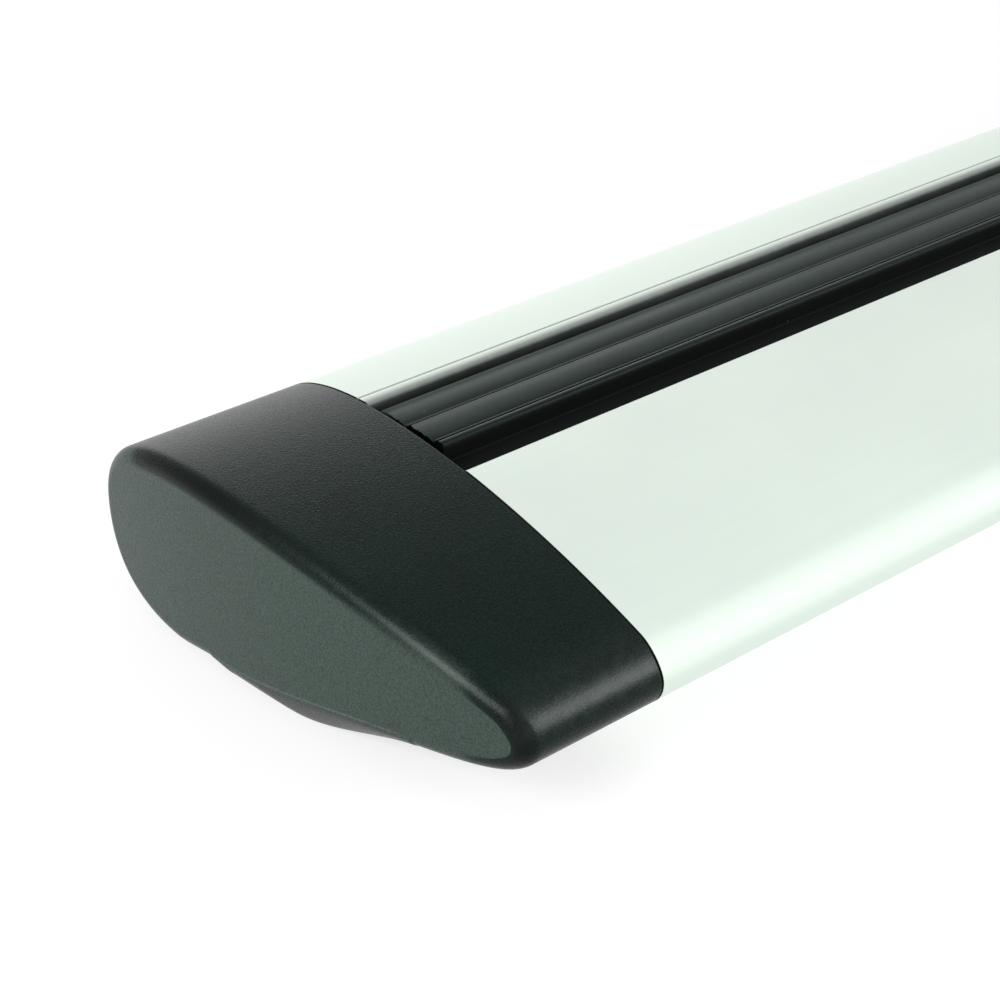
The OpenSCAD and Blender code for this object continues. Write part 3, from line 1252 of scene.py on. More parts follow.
    def edge_dress(self, p: SkinPoint, t: float) -> tuple[float, float]:
        """Says how the rounded edge looks.

        It gets painted shade at the tail nose and along the leading side, and painted light and
        rubbing in between. Over the hump it has a faint painted shade and ends in a painted
        highlight along its crease.

        Args:
            p: A point of the outer line.
            t: Share of the way round the edge, towards the end face.

        Returns:
            The wear and the tone there.
        """
        # painted shade across the middle of the rounded edge
        edge_shade = math.sin(math.pi * t**1.4) ** 0.8
        rise = t ** (1 - self.front_bow * p.front)
        if p.on_top:
            tone = (1 - p.shade) * (1 - p.tip) * self.face_light * rise
            edge = math.sin(math.pi * t)
            rub = self.top_rub * edge * (1 - p.lead) * (1 - p.tip)
            return max(p.nose * (1 - t), rub), tone - max(p.shade, p.tip) * edge_shade
        creased = min(1.0, 3 * p.hump)
        tone = (1 - creased) * (1 - p.tip) * self.face_light * rise
        tone += self.crease_highlight * creased * t**8
        return 0.0, tone - max(p.tip, self.hump_shade * p.hump) * edge_shade

    def edge_row(self, shape: Shape, points: list[SkinPoint], t: float) -> Ring:
        """Adds one ring of the rounded edge.

        Args:
            shape: The shape that gets the points.
            points: The outer line's points.
            t: Share of the way round the edge, towards the end face.

        Returns:
            The ring's points.
        """
        turn = math.pi / 2 * t
        soft_in = 3 * (1 - t) * t * t * self.hump_soft + t**3
        soft_out = (1 - t) ** 3 + 3 * (1 - t) ** 2 * t * self.hump_soft
        row = []
        for p in points:
            move = (1 - p.hump) * (1 - math.cos(turn)) + p.hump * soft_in
            back = (1 - p.hump) * (1 - math.sin(turn)) + p.hump * soft_out
            at = p.at + move * p.move
            x = self.end_x(at.x) + p.set_back * back
            row.append(shape.point(x, at, *self.edge_dress(p, t)))
        return row

    def face_rows(self, shape: Shape, points: list[SkinPoint], edge: Ring) -> list[Ring]:
        """Adds the end face's border, painted light, where the edge's painted shade fades out,
        with a painted glint along the crease.

        Args:
            shape: The shape that gets the points.
            points: The outer line's points.
            edge: The rounded edge's last ring.

        Returns:
            The rows of points.
        """
        rows = []
        for inset, glint in ((0.1, self.glint), (0.22, 0.0), (self.dark_in, 0.0), (1.1, 0.0)):
            row = []
            for p, vert in zip(points, edge):
                at = yz(vert.co.y, vert.co.z) + inset * p.way
                dark = p.shade * max(0.0, 1 - inset / self.dark_in) if p.on_top else 0.0
                tone = self.face_light * (1 - dark) + glint * p.hump**0.5
                row.append(shape.point(self.end_x(at.x), at, tone=tone))
            rows.append(row)
        return rows

    def rows(self, shape: Shape) -> list[Ring]:
        """Adds the rings of the outer skin, from the rim over the rounded edge to the end face.

        Args:
            shape: The shape that gets the points.

        Returns:
            The rows of points.
        """
        points = self.points()
        rows = self.rim_rows(shape, points)
        for k in range(self.edge_steps + 1):
            rows.append(self.edge_row(shape, points, k / self.edge_steps))
        return rows + self.face_rows(shape, points, rows[-1])

    def face(self, shape: Shape, row: Ring) -> None:
        """Fills the end face with narrow upright faces, so that it follows its curve.

        Args:
            shape: The shape that holds the row.
            row: The end face's outer ring, clockwise from the tail.
        """
        first = min(range(len(row)), key=lambda i: row[i].co.y)
        ring = row[first:] + row[:first]
        crown = max(range(len(ring)), key=lambda i: ring[i].co.y)
        top, low = ring[: crown + 1], [ring[0]] + ring[:crown - 1:-1]
        i = j = 0
        while i < len(top) - 1 or j < len(low) - 1:
            step_top = j >= len(low) - 1 or (
                i < len(top) - 1 and top[i + 1].co.y <= low[j + 1].co.y
            )
            corners = [top[i], low[j], top[i + 1] if step_top else low[j + 1]]
            if len(set(corners)) == 3:
                shape.mesh.faces.new(corners)
            i, j = (i + 1, j) if step_top else (i, j + 1)

    def plug(self, shape: Shape, ring: Chain, inner: Chain) -> None:
        """Adds one hollow plug that starts inside the cap and ends inside the bar.

        Args:
            shape: The shape that gets the plug.
            ring: Its outer ring.
            inner: Its inner ring, with as many points.
        """
        outer = shape.extrude(ring, [self.plug_root, self.plug_l - self.plug_tip])
        tip = [shape.point(self.plug_l, p.lerp(q, self.plug_taper)) for p, q in zip(ring, inner)]
        mouth = [shape.point(self.plug_l, q) for q in inner]
        floor = [shape.point(self.plug_root + self.plug_floor, q) for q in inner]
        shape.loft([outer[-1], tip, mouth, floor])
        shape.close([outer[0]], Facing.LEFT)
        shape.close([floor], Facing.RIGHT)

    def build(self, name: str, chambers: list[Chain]) -> bpy.types.Mesh:
        """Builds the left cap.

        Args:
            name: Name of the mesh.
            chambers: The bar's tail and leading chambers, which the plugs fit.

        Returns:
            The mesh in metres.
        """
        shape = Shape()
        rows = self.rows(shape)
        shape.loft(rows)
        self.face(shape, rows[-1])
        line = self.skin_line()
        ways = inward(line)
        inner = [p + self.wall * way for p, way in zip(line, ways)]
        inner = [yz(max(p.x, self.section.tail_solid - self.hollow_more), p.y) for p in inner]
        mouth = [shape.point(0.0, p) for p in inner]
        shape.loft([mouth, rows[0]])
        deep = self.wall + self.floor_more
        floor = [shape.point(min(self.end_x(p.x) + deep, -self.floor_least), p) for p in inner]
        shape.loft([floor, mouth])
        shape.close([floor], Facing.RIGHT)
        for ring in chambers:
            into = inward(ring)
            fit = [p + self.plug_clear * way for p, way in zip(ring, into)]
            bore = [p + (self.plug_clear + self.plug_wall) * way for p, way in zip(ring, into)]
            self.plug(shape, fit, bore)
        return shape.finish(name, self.sharp_deg)


class Wiring:
    """Adds nodes to one node tree and joins them."""

    def __init__(self, tree: bpy.types.NodeTree) -> None:
        """Starts on a tree, which loses the nodes that it has."""
        self.tree = tree
        tree.nodes.clear()

    def add(self, kind: str, inputs: dict | None = None, **settings: object) -> bpy.types.Node:
        """Adds a node.

        Args:
            kind: Blender's name of the node type.
            inputs: For each input's name or number, its value or the socket that feeds it.
            settings: Values of the node's own settings.

        Returns:
            The node.
        """
        node = self.tree.nodes.new(kind)
        for key, value in settings.items():
            setattr(node, key, value)
        for key, value in (inputs or {}).items():
            if isinstance(value, bpy.types.NodeSocket):
                self.tree.links.new(value, node.inputs[key])
            else:
                node.inputs[key].default_value = value
        return node

    def maths(self, operation: str, *values: object, clamp: bool = False) -> bpy.types.NodeSocket:
        """Adds a sum.

        Args:
            operation: Blender's name of the operation.
            values: Numbers or sockets.
            clamp: Whether the result is kept between 0 and 1.

        Returns:
            The result's socket.
        """
        node = self.add(
            "ShaderNodeMath", dict(enumerate(values)), operation=operation, use_clamp=clamp
        )
        return node.outputs[0]

    def spread(self, value: object, low: float, high: float, start: float = 0.0,
               stop: float = 1.0) -> bpy.types.NodeSocket:
        """Maps a range of values to another, and clamps it.

        Args:
            value: The socket to map.
            low: Its value that gives start.
            high: Its value that gives stop.
            start: First result.
            stop: Last result.

        Returns:
            The result's socket.
        """
        node = self.add(
            "ShaderNodeMapRange", {0: value, 1: low, 2: high, 3: start, 4: stop}, clamp=True
        )
        return node.outputs[0]

    def blend(self, share: object, a: object, b: object) -> bpy.types.NodeSocket:
        """Mixes two colours.

        Args:
            share: Share of the second colour.
            a: First colour.
            b: Second colour.

        Returns:
            The mixed colour's socket.
        """
        return self.add("ShaderNodeMix", {0: share, 6: a, 7: b}, data_type="RGBA").outputs[2]

    def cover(self, under: object, colour: Colour, mask: object,
              most: float = 1.0) -> bpy.types.NodeSocket:
        """Lays a colour over another where a mask says so.

        Args:
            under: The colour below.
            colour: The colour laid over it.
            mask: Where it lies, from 0 to 1.
            most: How far it covers where the mask is 1.

        Returns:
            The covered colour's socket.
        """
        share = self.maths("MULTIPLY", mask, most) if most < 1.0 else mask
        return self.blend(share, under, opaque(colour))

    def average(self, a: object, b: object, share: float) -> bpy.types.NodeSocket:
        """Adds up a share of one value and the rest of another.

        Args:
            a: First value.
            b: Second value.
            share: Share of the first value.

        Returns:
            The result's socket.
        """
        return self.maths("MULTIPLY_ADD", a, share, self.maths("MULTIPLY", b, 1 - share))

    def noise(self, size: object, detail: float) -> bpy.types.NodeSocket:
        """Adds noise that stays on its piece.

        Args:
            size: Size of its patches in metres.
            detail: How fine it breaks up.

        Returns:
            The noise's socket.
        """
        place = self.add("ShaderNodeTexCoord").outputs["Object"]
        scale = self.maths("DIVIDE", 1.0, size)
        inputs = {"Vector": place, "Scale": scale, "Detail": detail}
        return self.add("ShaderNodeTexNoise", inputs).outputs[0]

    def effect(self, group: bpy.types.NodeTree,
               values: dict[str, float] | None = None) -> bpy.types.NodeOutputs:
        """Places a shared effect.

        Args:
            group: The effect's node group.
            values: The inputs that differ from the group's own values.

        Returns:
            The effect's outputs.
        """
        return self.add("ShaderNodeGroup", values, node_tree=group).outputs


def opaque(colour: Colour) -> tuple[float, float, float, float]:
    """Adds full opacity to a colour."""
    return (*colour, 1.0)


class Effects:
    """The node groups that several finishes share, each built once."""

    def __init__(self) -> None:
        """Builds the groups."""
        self.grain = self.make_grain()
        self.drawing = self.make_drawing()
        self.blotches = self.make_blotches()
        self.rubbing = self.make_rubbing()
        self.dust = self.make_dust()
        self.tones = self.make_tones()

    def start(self, name: str, inputs: dict[str, float], outputs: tuple[str, ...]) -> tuple:
        """Starts a group.

        Args:
            name: Name of the group.
            inputs: Its inputs with their first values.
            outputs: Its outputs.

        Returns:
            Its wiring, and the sockets for its inputs and its outputs.
        """
        group = bpy.data.node_groups.new(name, "ShaderNodeTree")
        kind = "NodeSocketFloat"
        for label, value in inputs.items():
            socket = group.interface.new_socket(name=label, in_out="INPUT", socket_type=kind)
            socket.default_value = value
        for label in outputs:
            group.interface.new_socket(name=label, in_out="OUTPUT", socket_type=kind)
        w = Wiring(group)
        return w, w.add("NodeGroupInput").outputs, w.add("NodeGroupOutput").inputs

    def make_grain(self) -> bpy.types.NodeTree:
        """Makes an even fine grain of pebbles and pits, of a given size in metres."""
        w, given, result = self.start("fine_grain", {"Size": 0.0003}, ("Height", "Tone"))
        place = w.add("ShaderNodeTexCoord").outputs["Object"]
        scale = w.maths("DIVIDE", 1.0, given["Size"])
        pebbles = {"Vector": place, "Scale": scale, "Detail": 1.5}
        fine = w.add("ShaderNodeTexNoise", pebbles).outputs[0]
        pits = {"Vector": place, "Scale": w.maths("MULTIPLY", scale, 1.9)}
        cells = w.add("ShaderNodeTexVoronoi", pits, feature="SMOOTH_F1").outputs["Distance"]
        height = w.maths("MULTIPLY_ADD", cells, 0.5, fine)
        w.tree.links.new(w.spread(height, 0.45, 1.15), result["Height"])
        w.tree.links.new(w.spread(fine, 0.3, 0.7), result["Tone"])
        return w.tree

    def make_drawing(self) -> bpy.types.NodeTree:
        """Makes the long fine lines that a die leaves along an extruded piece."""
        w, given, result = self.start("die_lines", {"Pitch": 0.0002, "Length": 0.3}, ("Lines",))
        place = w.add("ShaderNodeTexCoord").outputs["Object"]
        parts = w.add("ShaderNodeSeparateXYZ", {0: place}).outputs
        stretched = {
            i: w.maths("DIVIDE", parts[i], given[label])
            for i, label in enumerate(("Length", "Pitch", "Pitch"))
        }
        joined = w.add("ShaderNodeCombineXYZ", stretched).outputs[0]
        lines = w.add("ShaderNodeTexNoise", {"Vector": joined, "Scale": 1.0, "Detail": 2.0})
        w.tree.links.new(w.spread(lines.outputs[0], 0.3, 0.7), result["Lines"])
        return w.tree

    def make_blotches(self) -> bpy.types.NodeTree:
        """Makes broad soft patches, of a given size in metres."""
        w, given, result = self.start("soft_patches", {"Size": 0.02}, ("Patch",))
        w.tree.links.new(w.spread(w.noise(given["Size"], 3.0), 0.3, 0.7), result["Patch"])
        return w.tree

    def make_rubbing(self) -> bpy.types.NodeTree:
        """Makes the broken-up rub marks along exposed edges, from the mesh's wear values."""
        w, given, result = self.start("rubbed_edges", {"Size": 0.0015, "Keep": 0.45}, ("Rub",))
        exposed = w.add("ShaderNodeAttribute", attribute_name="wear").outputs["Fac"]
        broken = w.maths("SUBTRACT", w.noise(given["Size"], 4.0), given["Keep"])
        mask = w.maths("MULTIPLY", exposed, w.spread(broken, 0.0, 0.2))
        w.tree.links.new(mask, result["Rub"])
        return w.tree

    def make_dust(self) -> bpy.types.NodeTree:
        """Makes sparse tiny specks: a cell size in metres and the share of cells that hold one."""
        inputs = {"Cell": 0.004, "Share": 0.3, "Speck": 0.04}
        w, given, result = self.start("dust_specks", inputs, ("Speck",))
        place = w.add("ShaderNodeTexCoord").outputs["Object"]
        scale = w.maths("DIVIDE", 1.0, given["Cell"])
        cells = w.add("ShaderNodeTexVoronoi", {"Vector": place, "Scale": scale}).outputs
        hue = w.add("ShaderNodeSeparateColor", {0: cells["Color"]}).outputs
        taken = w.maths("LESS_THAN", hue[0], given["Share"])
        reach = w.maths("MULTIPLY", given["Speck"], w.maths("ADD", hue[1], 0.5))
        near = w.maths("LESS_THAN", cells["Distance"], reach)
        w.tree.links.new(w.maths("MULTIPLY", taken, near), result["Speck"])
        return w.tree

    def make_tones(self) -> bpy.types.NodeTree:
        """Splits the mesh's tone into masks of painted shade and painted light, with slightly
        broken edges.
        """
        inputs = {"Size": 0.001, "Break": 0.15}
        w, given, result = self.start("dark_and_light", inputs, ("Dark", "Light"))
        tone = w.add("ShaderNodeAttribute", attribute_name="tone").outputs["Fac"]
        centred = w.maths("SUBTRACT", 0.5, w.noise(given["Size"], 3.0))
        ragged = w.maths("MULTIPLY_ADD", centred, given["Break"], 1.0)
        for label, sign in (("Dark", -1.0), ("Light", 1.0)):
            mask = w.maths("MULTIPLY", w.maths("MULTIPLY", tone, sign), ragged, clamp=True)
            w.tree.links.new(mask, result[label])
        return w.tree


@dataclass(frozen=True)
class Finish:
    """What every finish has: a name, two shades that its patches drift between, and roughness."""

    name: str
    shade: Colour
    shade_alt: Colour
    rough: float = 0.3
    rough_swing: float = 0.08

    def start(self) -> tuple[bpy.types.Material, Wiring]:
        """Starts the finish's material.

        Returns:
            The material and the wiring of its nodes.
        """
        material = bpy.data.materials.new(self.name)
        material.use_nodes = True
        material.diffuse_color = opaque(self.shade)
        return material, Wiring(material.node_tree)

    def drifted(self, w: Wiring, drift: object) -> bpy.types.NodeSocket:
        """Mixes the finish's two shades."""
        return w.blend(drift, opaque(self.shade), opaque(self.shade_alt))

    def roughness(self, w: Wiring, drift: object) -> bpy.types.NodeSocket:
        """Spreads the finish's roughness over a value from 0 to 1."""
        half = self.rough_swing / 2
        return w.spread(drift, 0.0, 1.0, self.rough - half, self.rough + half)

    def close(self, w: Wiring, surface: dict, bump: dict) -> None:
        """Adds the surface shader, its bump and the output.

        Args:
            w: The material's wiring.
            surface: Inputs of the surface shader.
            bump: Inputs of the bump node.
        """
        relief = w.add("ShaderNodeBump", bump)
        shader = w.add("ShaderNodeBsdfPrincipled", {**surface, "Normal": relief.outputs[0]})
        w.add("ShaderNodeOutputMaterial", {0: shader.outputs[0]})


@dataclass(frozen=True)
class SatinMetal(Finish):
    """Satin anodised aluminium with faint die lines, a fine matt grain, and painted shade in its
    slot, joints and fine line.
    """

    rough: float = 0.74
    grain_size: float = 0.00022
    line_pitch: float = 0.0005
    patch_size: float = 0.035
    relief: float = 0.000004
    rubbed: Colour = (0.88, 0.9, 0.88)
    painted_shade: Colour = (0.006, 0.008, 0.007)
    shade_size: float = 0.012
    shade_break: float = 0.1
    line_share: float = 0.35
    line_relief: float = 0.4
    rub_cover: float = 0.5
    rub_polish: float = 0.5
    strength: float = 0.35

    def material(self, effects: Effects) -> bpy.types.Material:
        """Builds the material.

        Args:
            effects: The shared node groups.

        Returns:
            The material.
        """
        material, w = self.start()
        grain = w.effect(effects.grain, {"Size": self.grain_size})
        lines = w.effect(effects.drawing, {"Pitch": self.line_pitch})
        patch = w.effect(effects.blotches, {"Size": self.patch_size})
        rub = w.effect(effects.rubbing)
        drift = w.average(lines[0], patch[0], self.line_share)
        tint = self.drifted(w, drift)
        tint = w.cover(tint, self.rubbed, rub[0], self.rub_cover)
        # painted shade from the tone's dark mask: slot, leading lip, joints and fine line
        tone = w.effect(effects.tones, {"Size": self.shade_size, "Break": self.shade_break})
        tint = w.cover(tint, self.painted_shade, tone["Dark"])
        height = w.average(lines[0], grain["Height"], self.line_relief)
        worn = w.maths("SUBTRACT", drift, w.maths("MULTIPLY", rub[0], self.rub_polish))
        rough = self.roughness(w, worn)
        self.close(w, {"Base Color": tint, "Metallic": 1.0, "Roughness": rough},
                   {"Height": height, "Strength": self.strength, "Distance": self.relief})
        return material


@dataclass(frozen=True)
class BlackFinish(Finish):
    """What the plastic and the rubber share: no metal in them, and a faint greenish gloss."""

    gloss: float = 0.12
    gloss_tint: Colour = (0.85, 1.0, 0.92)

    def surface(self, tint: object, rough: object) -> dict:
        """Gives the inputs of the surface shader."""
        return {"Base Color": tint, "Metallic": 0.0, "Roughness": rough,
                "Specular IOR Level": self.gloss, "Specular Tint": opaque(self.gloss_tint)}


@dataclass(frozen=True)
class MouldedPlastic(BlackFinish):
    """Black moulded plastic with a fine spark-eroded grain, faintly rubbed edges, painted light on
    its end face and painted shade along its rounded edge and joint.
    """

    rough: float = 0.27
    grain_size: float = 0.00028
    patch_size: float = 0.012
    relief: float = 0.00005
    polish: float = 0.34
    painted_light: Colour = (0.098, 0.136, 0.118)
    dark: Colour = (0.001, 0.002, 0.0015)
    rubbed: Colour = (0.03, 0.04, 0.035)
    dust: Colour = (0.16, 0.17, 0.165)
    dust_share: float = 0.12
    dust_cover: float = 0.6
    grain_share: float = 0.8
    rub_cover: float = 0.3
    rub_polish: float = 0.4
    coat_rough: float = 0.3
    strength: float = 0.7

    def material(self, effects: Effects) -> bpy.types.Material:
        """Builds the material.

        Args:
            effects: The shared node groups.

        Returns:
            The material.
        """
        material, w = self.start()
        grain = w.effect(effects.grain, {"Size": self.grain_size})
        patch = w.effect(effects.blotches, {"Size": self.patch_size})
        rub = w.effect(effects.rubbing)
        worn = w.add("ShaderNodeAttribute", attribute_name="wear").outputs["Fac"]
        dust = w.effect(effects.dust, {"Share": self.dust_share})
        drift = w.average(grain["Tone"], patch[0], self.grain_share)
        tint = self.drifted(w, drift)
        tone = w.effect(effects.tones)
        # painted light on the end face, edges and crease, mottled by the grain
        grain_mottle = w.maths("MULTIPLY_ADD", grain["Tone"], 0.5, 0.5)
        tint = w.cover(tint, self.painted_light, w.maths("MULTIPLY", tone["Light"], grain_mottle))
        # painted shade along the rounded edge, at the tail nose and in the joint
        tint = w.cover(tint, self.dark, tone["Dark"])
        tint = w.cover(tint, self.rubbed, rub[0], self.rub_cover)
        tint = w.cover(tint, self.dust, dust[0], self.dust_cover)
        smooth = w.maths("SUBTRACT", drift, w.maths("MULTIPLY", rub[0], self.rub_polish))
        rough = self.roughness(w, smooth)
        coat = {"Coat Weight": w.maths("MULTIPLY", worn, self.polish),
                "Coat Roughness": self.coat_rough}
        self.close(w, {**self.surface(tint, rough), **coat},
                   {"Height": grain["Height"], "Strength": self.strength, "Distance": self.relief})
        return material


@dataclass(frozen=True)
class ExtrudedRubber(BlackFinish):
    """Matt black rubber with long extrusion lines, painted sheen on its bands, painted shade in
    its grooves and trough, and a few specks of dust.
    """

    rough_swing: float = 0.1
    gloss: float = 0.16
    grain_size: float = 0.00025
    line_pitch: float = 0.00035
    line_length: float = 0.06
    patch_size: float = 0.009
    relief: float = 0.00002
    painted_sheen: Colour = (0.115, 0.152, 0.136)
    dark: Colour = (0.0003, 0.0008, 0.0006)
    dust: Colour = (0.15, 0.17, 0.16)
    dust_share: float = 0.5
    dust_cover: float = 0.5
    line_share: float = 0.3
    line_relief: float = 0.5
    dark_rough: float = 0.4
    strength: float = 0.4

    def material(self, effects: Effects) -> bpy.types.Material:
        """Builds the material.

        Args:
            effects: The shared node groups.

        Returns:
            The material.
        """
        material, w = self.start()
        grain = w.effect(effects.grain, {"Size": self.grain_size})
        lines = w.effect(effects.drawing, {"Pitch": self.line_pitch, "Length": self.line_length})
        patch = w.effect(effects.blotches, {"Size": self.patch_size})
        dust = w.effect(effects.dust, {"Share": self.dust_share})
        drift = w.average(lines[0], patch[0], self.line_share)
        tint = self.drifted(w, drift)
        tone = w.effect(effects.tones)
        # painted sheen and highlight from the tone's light mask
        tint = w.cover(tint, self.painted_sheen, tone["Light"])
        # painted shade in the grooves, trough and hidden sides
        tint = w.cover(tint, self.dark, tone["Dark"])
        tint = w.cover(tint, self.dust, dust[0], self.dust_cover)
        height = w.average(lines[0], grain["Height"], self.line_relief)
        rough = self.roughness(w, drift)
        rough = w.maths("MULTIPLY_ADD", tone["Dark"], self.dark_rough, rough, clamp=True)
        self.close(w, self.surface(tint, rough),
                   {"Height": height, "Strength": self.strength, "Distance": self.relief})
        return material


@dataclass(frozen=True)
class TurnedSteel(Finish):
    """Bright screw steel with fine turning marks around its axis and rubbed edges."""

    mark_pitch: float = 0.00018
    patch_size: float = 0.002
    rub_size: float = 0.0006
    relief: float = 0.00001
    strength: float = 0.3
    rubbed: Colour = (0.75, 0.75, 0.74)
    smoother: float = 0.08
    rougher: float = 0.12

    def material(self, effects: Effects) -> bpy.types.Material:
        """Builds the material.

        Args:
            effects: The shared node groups.

        Returns:
            The material.
        """
        material, w = self.start()
        place = w.add("ShaderNodeTexCoord").outputs["Object"]
        marks = {"Vector": place, "Scale": 0.05 / self.mark_pitch * 6.28, "Distortion": 0.6,
                 "Detail": 1.0}
        rings = w.add("ShaderNodeTexWave", marks, wave_type="RINGS",
                      rings_direction="Z").outputs["Fac"]
        patch = w.effect(effects.blotches, {"Size": self.patch_size})
        rub = w.effect(effects.rubbing, {"Size": self.rub_size})
        tint = w.cover(self.drifted(w, patch[0]), self.rubbed, rub[0])
        turned = w.maths("MULTIPLY_ADD", rings, 0.5, patch[0])
        rough = w.spread(turned, 0.0, 1.5, self.rough - self.smoother, self.rough + self.rougher)
        self.close(w, {"Base Color": tint, "Metallic": 1.0, "Roughness": rough},
                   {"Height": rings, "Strength": self.strength, "Distance": self.relief})
        return material


@dataclass
class FinishShelf:
    """Keeps one material for each of the record's slots."""

    effects: Effects = field(default_factory=Effects)
    materials: dict[Slot, bpy.types.Material] = field(default_factory=dict)

    def fill(self) -> None:
        """Builds the four materials."""
        finishes = {
            Slot.METAL: SatinMetal("satin_anodised", (0.73, 0.8, 0.745), (0.76, 0.825, 0.77)),
            Slot.PLASTIC: MouldedPlastic("grained_plastic", (0.0005, 0.0015, 0.001),
                                         (0.004, 0.016, 0.011)),
            Slot.RUBBER: ExtrudedRubber("extruded_rubber", (0.001, 0.003, 0.002),
                                        (0.005, 0.01, 0.008)),
            Slot.STEEL: TurnedSteel("turned_steel", (0.5, 0.51, 0.52), (0.58, 0.59, 0.59)),
        }
        for slot, finish in finishes.items():
            self.materials[slot] = finish.material(self.effects)


@dataclass
class CrossBar:
    """One bar of the pair with its strips, caps and screws."""

    side: Side
    shelf: FinishShelf
    spacing: float = 200.0
    length: float = 1140.0
    section: Section = field(default_factory=Section)
    screw: Screw = field(default_factory=Screw)

    def place(self) -> Matrix:
        """Gives the move from the bar's own place to the pair's frame, in metres."""
        across = self.side.value * self.spacing / 2 - self.section.width / 2
        return Matrix.Translation(MM * Vector((-self.length / 2, across, self.section.base_h)))

    def mirrored(self, mesh: bpy.types.Mesh, name: str) -> bpy.types.Mesh:
        """Makes the other end's mirror image of a left end mesh.

        Args:
            mesh: The left end's mesh, in the bar's own place.
            name: Name of the copy.

        Returns:
            The copy.
        """
        copy = mesh.copy()
        copy.name = name
        flip = Matrix.Translation((MM * self.length, 0, 0)) @ Matrix.Diagonal((-1, 1, 1, 1))
        copy.transform(flip)
        copy.flip_normals()
        return copy

    def put(self, mesh: bpy.types.Mesh, node: str, slot: Slot, at: Vector | None = None) -> None:
        """Puts a finished piece in the scene in place of its solid.

        Args:
            mesh: The piece's mesh.
            node: Name of the solid that it stands for.
            slot: The finish that it takes.
            at: Its own origin in the bar's place in millimetres, where it has one.
        """
        if at is None:
            mesh.transform(self.place())
        mesh.materials.clear()
        mesh.materials.append(self.shelf.materials[slot])
        piece = bpy.data.objects.new(mesh.name, mesh)
        if at is not None:
            piece.location = self.place() @ (MM * at)
        bpy.context.scene.collection.objects.link(piece)
        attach(piece, "root")
        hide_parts(node)
        LOG.info("%s: %d faces, stands for %s", piece.name, len(mesh.polygons), node)

    def build(self) -> None:
        """Builds the bar's seven pieces and puts them in place."""
        label = self.side.label
        metal = Extrusion(self.section, self.screw, self.length)
        self.put(metal.drilled(f"{label}_extrusion"), f"{label}_bar", Slot.METAL)
        seed = 11 + self.side.value
        strip = TopStrip(self.section, self.length)
        self.put(strip.build(f"{label}_ribbed_strip", seed), f"{label}_top_strip", Slot.RUBBER)
        channel = LowerStrip(self.section, self.length)
        self.put(channel.build(f"{label}_channel_strip"), f"{label}_lower_strip", Slot.RUBBER)
        left = EndCap(self.section).build(f"{label}_left_end_cap", metal.chambers()[:2])
        right = self.mirrored(left, f"{label}_right_end_cap")
        self.put(left, f"{label}_left_cap", Slot.PLASTIC)
        self.put(right, f"{label}_right_cap", Slot.PLASTIC)
        for end in End:
            along = self.screw.along
            if end is End.RIGHT:
                along = self.length - along
            at = Vector((along, self.section.base_y, self.screw.sunk - self.section.base_h))
            name = f"{label}_{end.value}"
            self.put(self.screw.build(f"{name}_cap_screw"), f"{name}_screw", Slot.STEEL, at)


@dataclass(frozen=True)
class Lamp:
    """A square soft light that points at the photographed end."""

    name: str
    way: tuple[float, float, float]
    distance: float
    size: float
    power: float

    def hang(self, target: Vector) -> None:
        """Hangs the lamp.

        Args:
            target: The point that it faces.
        """
        light = bpy.data.lights.new(self.name, "AREA")
        light.shape, light.size, light.energy = "SQUARE", self.size, self.power
        lamp = bpy.data.objects.new(self.name, light)
        way = Vector(self.way).normalized()
        lamp.location = target + way * self.distance
        lamp.rotation_euler = way.to_track_quat("Z", "Y").to_euler()
        lamp.visible_camera = False
        bpy.context.scene.collection.objects.link(lamp)


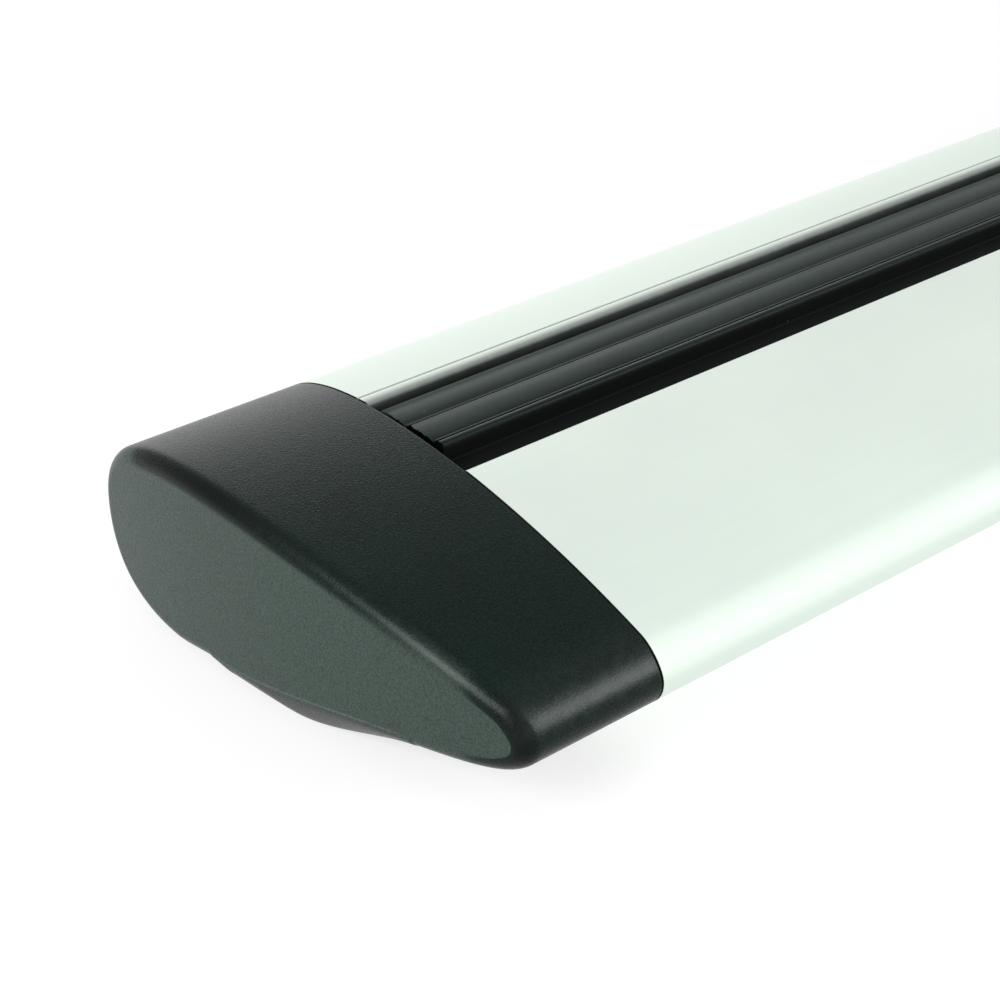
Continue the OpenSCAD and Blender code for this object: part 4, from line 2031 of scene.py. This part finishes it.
@dataclass(frozen=True)
class Studio:
    """White floor and world, soft lamps and the camera at the photograph's view."""

    camera_at: tuple[float, float, float] = (-0.7214, -0.09195, 0.1686)
    camera_turn: float = 39.761
    camera_dip: float = 31.0
    lens: float = 78.31
    target: tuple[float, float, float] = (-0.57, 0.1, 0.015)
    film_w: float = 36.0
    nearest: float = 0.005
    floor_size: float = 6.0
    floor_drop: float = 0.00005
    world_light: float = 0.55
    floor_glow: float = 0.65
    floor_shade: float = 0.45
    floor_matt: float = 0.8
    lamps: tuple[Lamp, ...] = (
        Lamp("key", (0.55, -0.68, 0.38), 1.0, 0.36, 3.2),
        Lamp("end_fill", (-0.85, -0.1, 0.5), 0.7, 0.4, 4.0),
        Lamp("rim", (0.46, 0.87, 0.17), 1.2, 0.8, 2.3),
    )

    def seen(self, w: Wiring) -> bpy.types.NodeSocket:
        """Gives 1 for what the camera sees, straight or in a reflection or glass."""
        path = w.add("ShaderNodeLightPath").outputs
        both = w.maths("MAXIMUM", path["Is Camera Ray"], path["Is Glossy Ray"])
        return w.maths("MAXIMUM", both, path["Is Transmission Ray"])

    def lay_floor(self) -> None:
        """Lays the white floor, which keeps the soft shadows."""
        shape = bmesh.new()
        bmesh.ops.create_grid(shape, x_segments=8, y_segments=8, size=self.floor_size / 2)
        mesh = bpy.data.meshes.new("floor")
        shape.to_mesh(mesh)
        shape.free()
        floor = bpy.data.objects.new("floor", mesh)
        floor.location = (0, 0, -self.floor_drop)
        bpy.context.scene.collection.objects.link(floor)
        material = bpy.data.materials.new("white_floor")
        material.use_nodes = True
        w = Wiring(material.node_tree)
        matt = w.add("ShaderNodeBsdfDiffuse", {"Color": opaque((self.floor_matt,) * 3)})
        shade = w.add("ShaderNodeBsdfDiffuse", {"Color": opaque((self.floor_shade,) * 3)})
        glow = w.add("ShaderNodeEmission", {"Strength": self.floor_glow})
        bright = w.add("ShaderNodeAddShader", {0: glow.outputs[0], 1: shade.outputs[0]})
        mix = w.add("ShaderNodeMixShader",
                    {0: self.seen(w), 1: matt.outputs[0], 2: bright.outputs[0]})
        w.add("ShaderNodeOutputMaterial", {0: mix.outputs[0]})
        mesh.materials.append(material)

    def light_world(self) -> None:
        """Makes the world white where it is seen, and a plain soft light elsewhere."""
        world = bpy.data.worlds.new("studio")
        world.use_nodes = True
        bpy.context.scene.world = world
        w = Wiring(world.node_tree)
        strength = w.spread(self.seen(w), 0.0, 1.0, self.world_light, 1.0)
        back = w.add("ShaderNodeBackground", {"Strength": strength})
        w.add("ShaderNodeOutputWorld", {0: back.outputs[0]})

    def set_camera(self) -> None:
        """Sets the camera at the photograph's view."""
        camera = bpy.data.cameras.new("camera")
        camera.lens, camera.sensor_width = self.lens, self.film_w
        camera.clip_start = self.nearest
        holder = bpy.data.objects.new("camera", camera)
        turn, dip = math.radians(self.camera_turn), math.radians(self.camera_dip)
        ahead = Vector((
            math.sin(turn) * math.cos(dip), math.cos(turn) * math.cos(dip), -math.sin(dip)
        ))
        right = Vector((math.cos(turn), -math.sin(turn), 0))
        up = right.cross(ahead)
        pose = Matrix((right, up, -ahead)).transposed().to_4x4()
        pose.translation = Vector(self.camera_at)
        holder.matrix_world = pose
        bpy.context.scene.collection.objects.link(holder)
        bpy.context.scene.camera = holder

    def set_up(self) -> None:
        """Sets up the camera, the floor, the world and the lamps."""
        self.set_camera()
        self.lay_floor()
        self.light_world()
        for lamp in self.lamps:
            lamp.hang(Vector(self.target))
        bpy.context.scene.view_settings.view_transform = "Standard"


def main() -> None:
    """Sets up the studio and builds both bars."""
    logging.basicConfig(level=logging.INFO, format="%(message)s")
    Studio().set_up()
    shelf = FinishShelf()
    shelf.fill()
    for side in Side:
        CrossBar(side, shelf).build()


if __name__ == "__main__":
    main()
